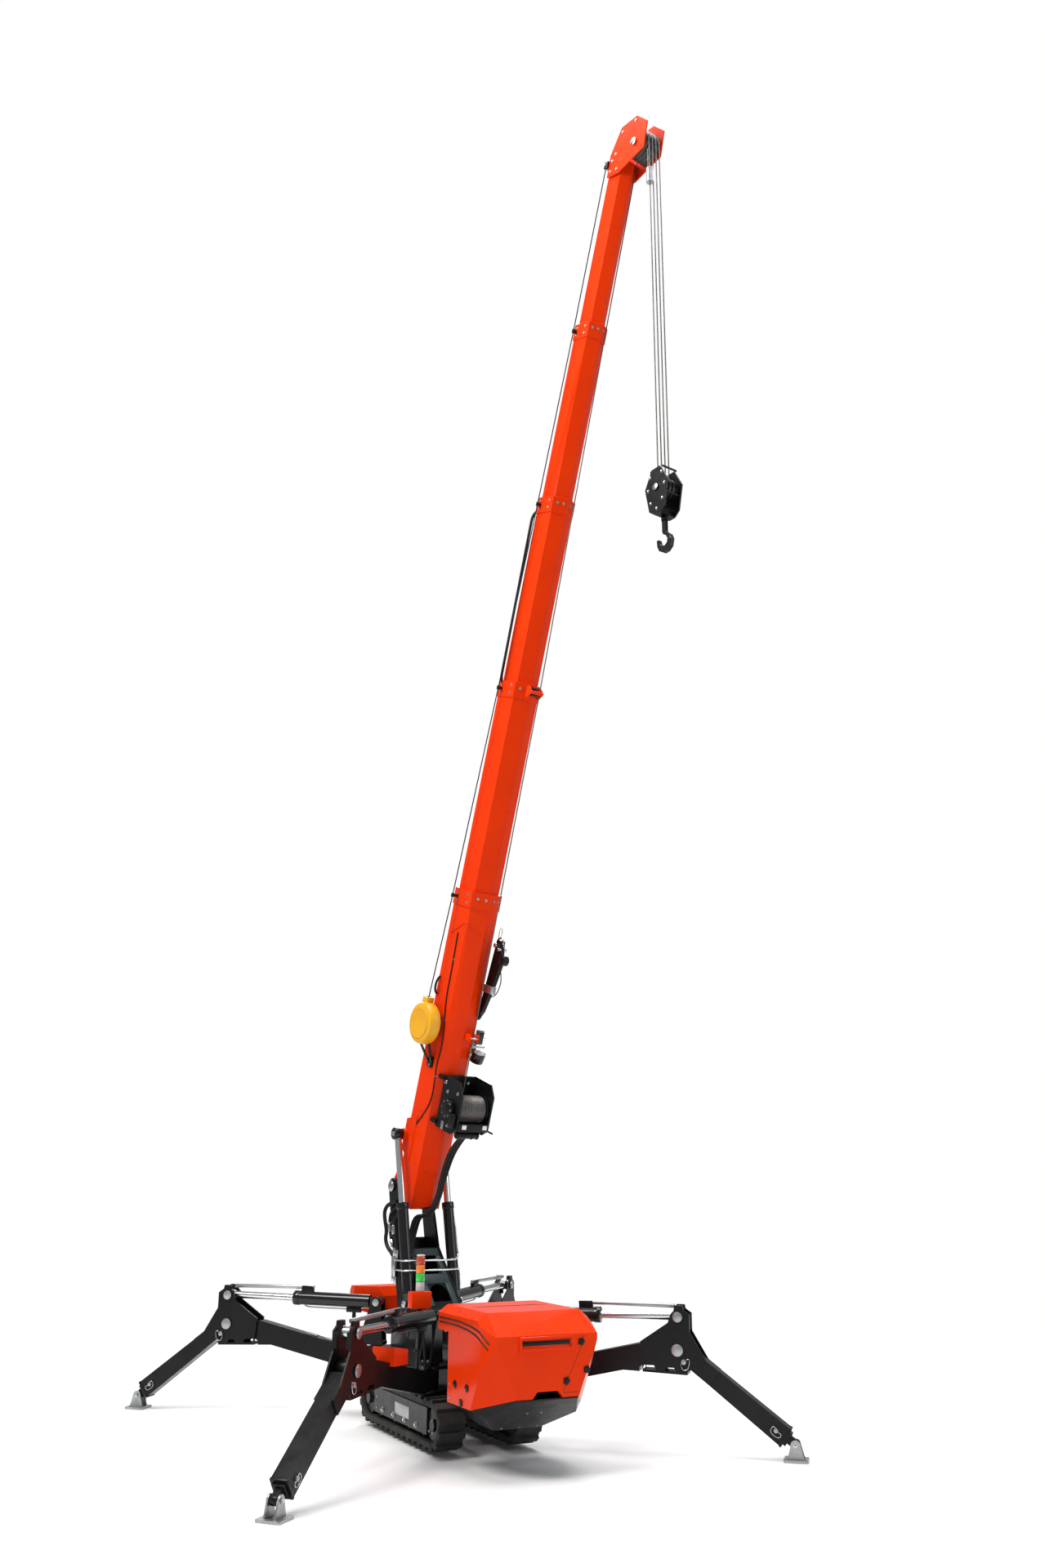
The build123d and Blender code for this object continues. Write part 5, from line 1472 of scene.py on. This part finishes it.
class CRANE_OT_tracks(Step, bpy.types.Operator):
    """Model the bolts and plates of the tracks and chassis"""
    bl_idname = "crane.tracks"
    bl_label = "Tracks and chassis"
    builders = (build_track_fittings, build_chassis_fittings)


class CRANE_OT_head(Step, bpy.types.Operator):
    """Model the fittings of the boom head and hook block"""
    bl_idname = "crane.head"
    bl_label = "Head and hook"
    builders = (build_head_fittings, build_hook_fittings)


class CRANE_OT_hood(Step, bpy.types.Operator):
    """Model the hood's fittings"""
    bl_idname = "crane.hood"
    bl_label = "Hood"
    builders = (build_hood_fittings,)


class CRANE_OT_stage(bpy.types.Operator):
    """Set up the studio and the camera"""
    bl_idname = "crane.stage"
    bl_label = "Studio and camera"

    def execute(self, context):
        build_stage(context.scene.crane_look)
        place_camera(context.scene.crane_look)
        return {"FINISHED"}


STEPS = (
    CRANE_OT_materials, CRANE_OT_stack_light, CRANE_OT_winch, CRANE_OT_legs, CRANE_OT_boom,
    CRANE_OT_reel, CRANE_OT_post, CRANE_OT_tracks, CRANE_OT_head, CRANE_OT_hood, CRANE_OT_stage,
)


class CRANE_PT_panel(bpy.types.Panel):
    """The crane's steps and sizes in the sidebar"""
    bl_label = "Spider Crane"
    bl_idname = "CRANE_PT_panel"
    bl_space_type = "VIEW_3D"
    bl_region_type = "UI"
    bl_category = "Spider Crane"

    def draw(self, context):
        look = context.scene.crane_look
        for name in ("orange", "yellow", "light", "lens"):
            self.layout.prop(look, name)
        for step in STEPS:
            self.layout.operator(step.bl_idname)


def register():
    """Register the properties, operators and panel."""
    for entry in (CraneLook, *STEPS, CRANE_PT_panel):
        bpy.utils.register_class(entry)
    bpy.types.Scene.crane_look = bpy.props.PointerProperty(type=CraneLook)


def unregister():
    """Take them away again."""
    del bpy.types.Scene.crane_look
    for entry in reversed((CraneLook, *STEPS, CRANE_PT_panel)):
        bpy.utils.unregister_class(entry)


def main():
    """Load the frame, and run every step."""
    register()
    FRAME.update(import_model())
    bpy.ops.crane.materials()
    bpy.ops.crane.stack_light()
    bpy.ops.crane.winch()
    bpy.ops.crane.legs()
    bpy.ops.crane.boom()
    bpy.ops.crane.reel()
    bpy.ops.crane.post()
    bpy.ops.crane.tracks()
    bpy.ops.crane.head()
    bpy.ops.crane.hood()
    bpy.ops.crane.stage()


if __name__ == "__main__":
    main()
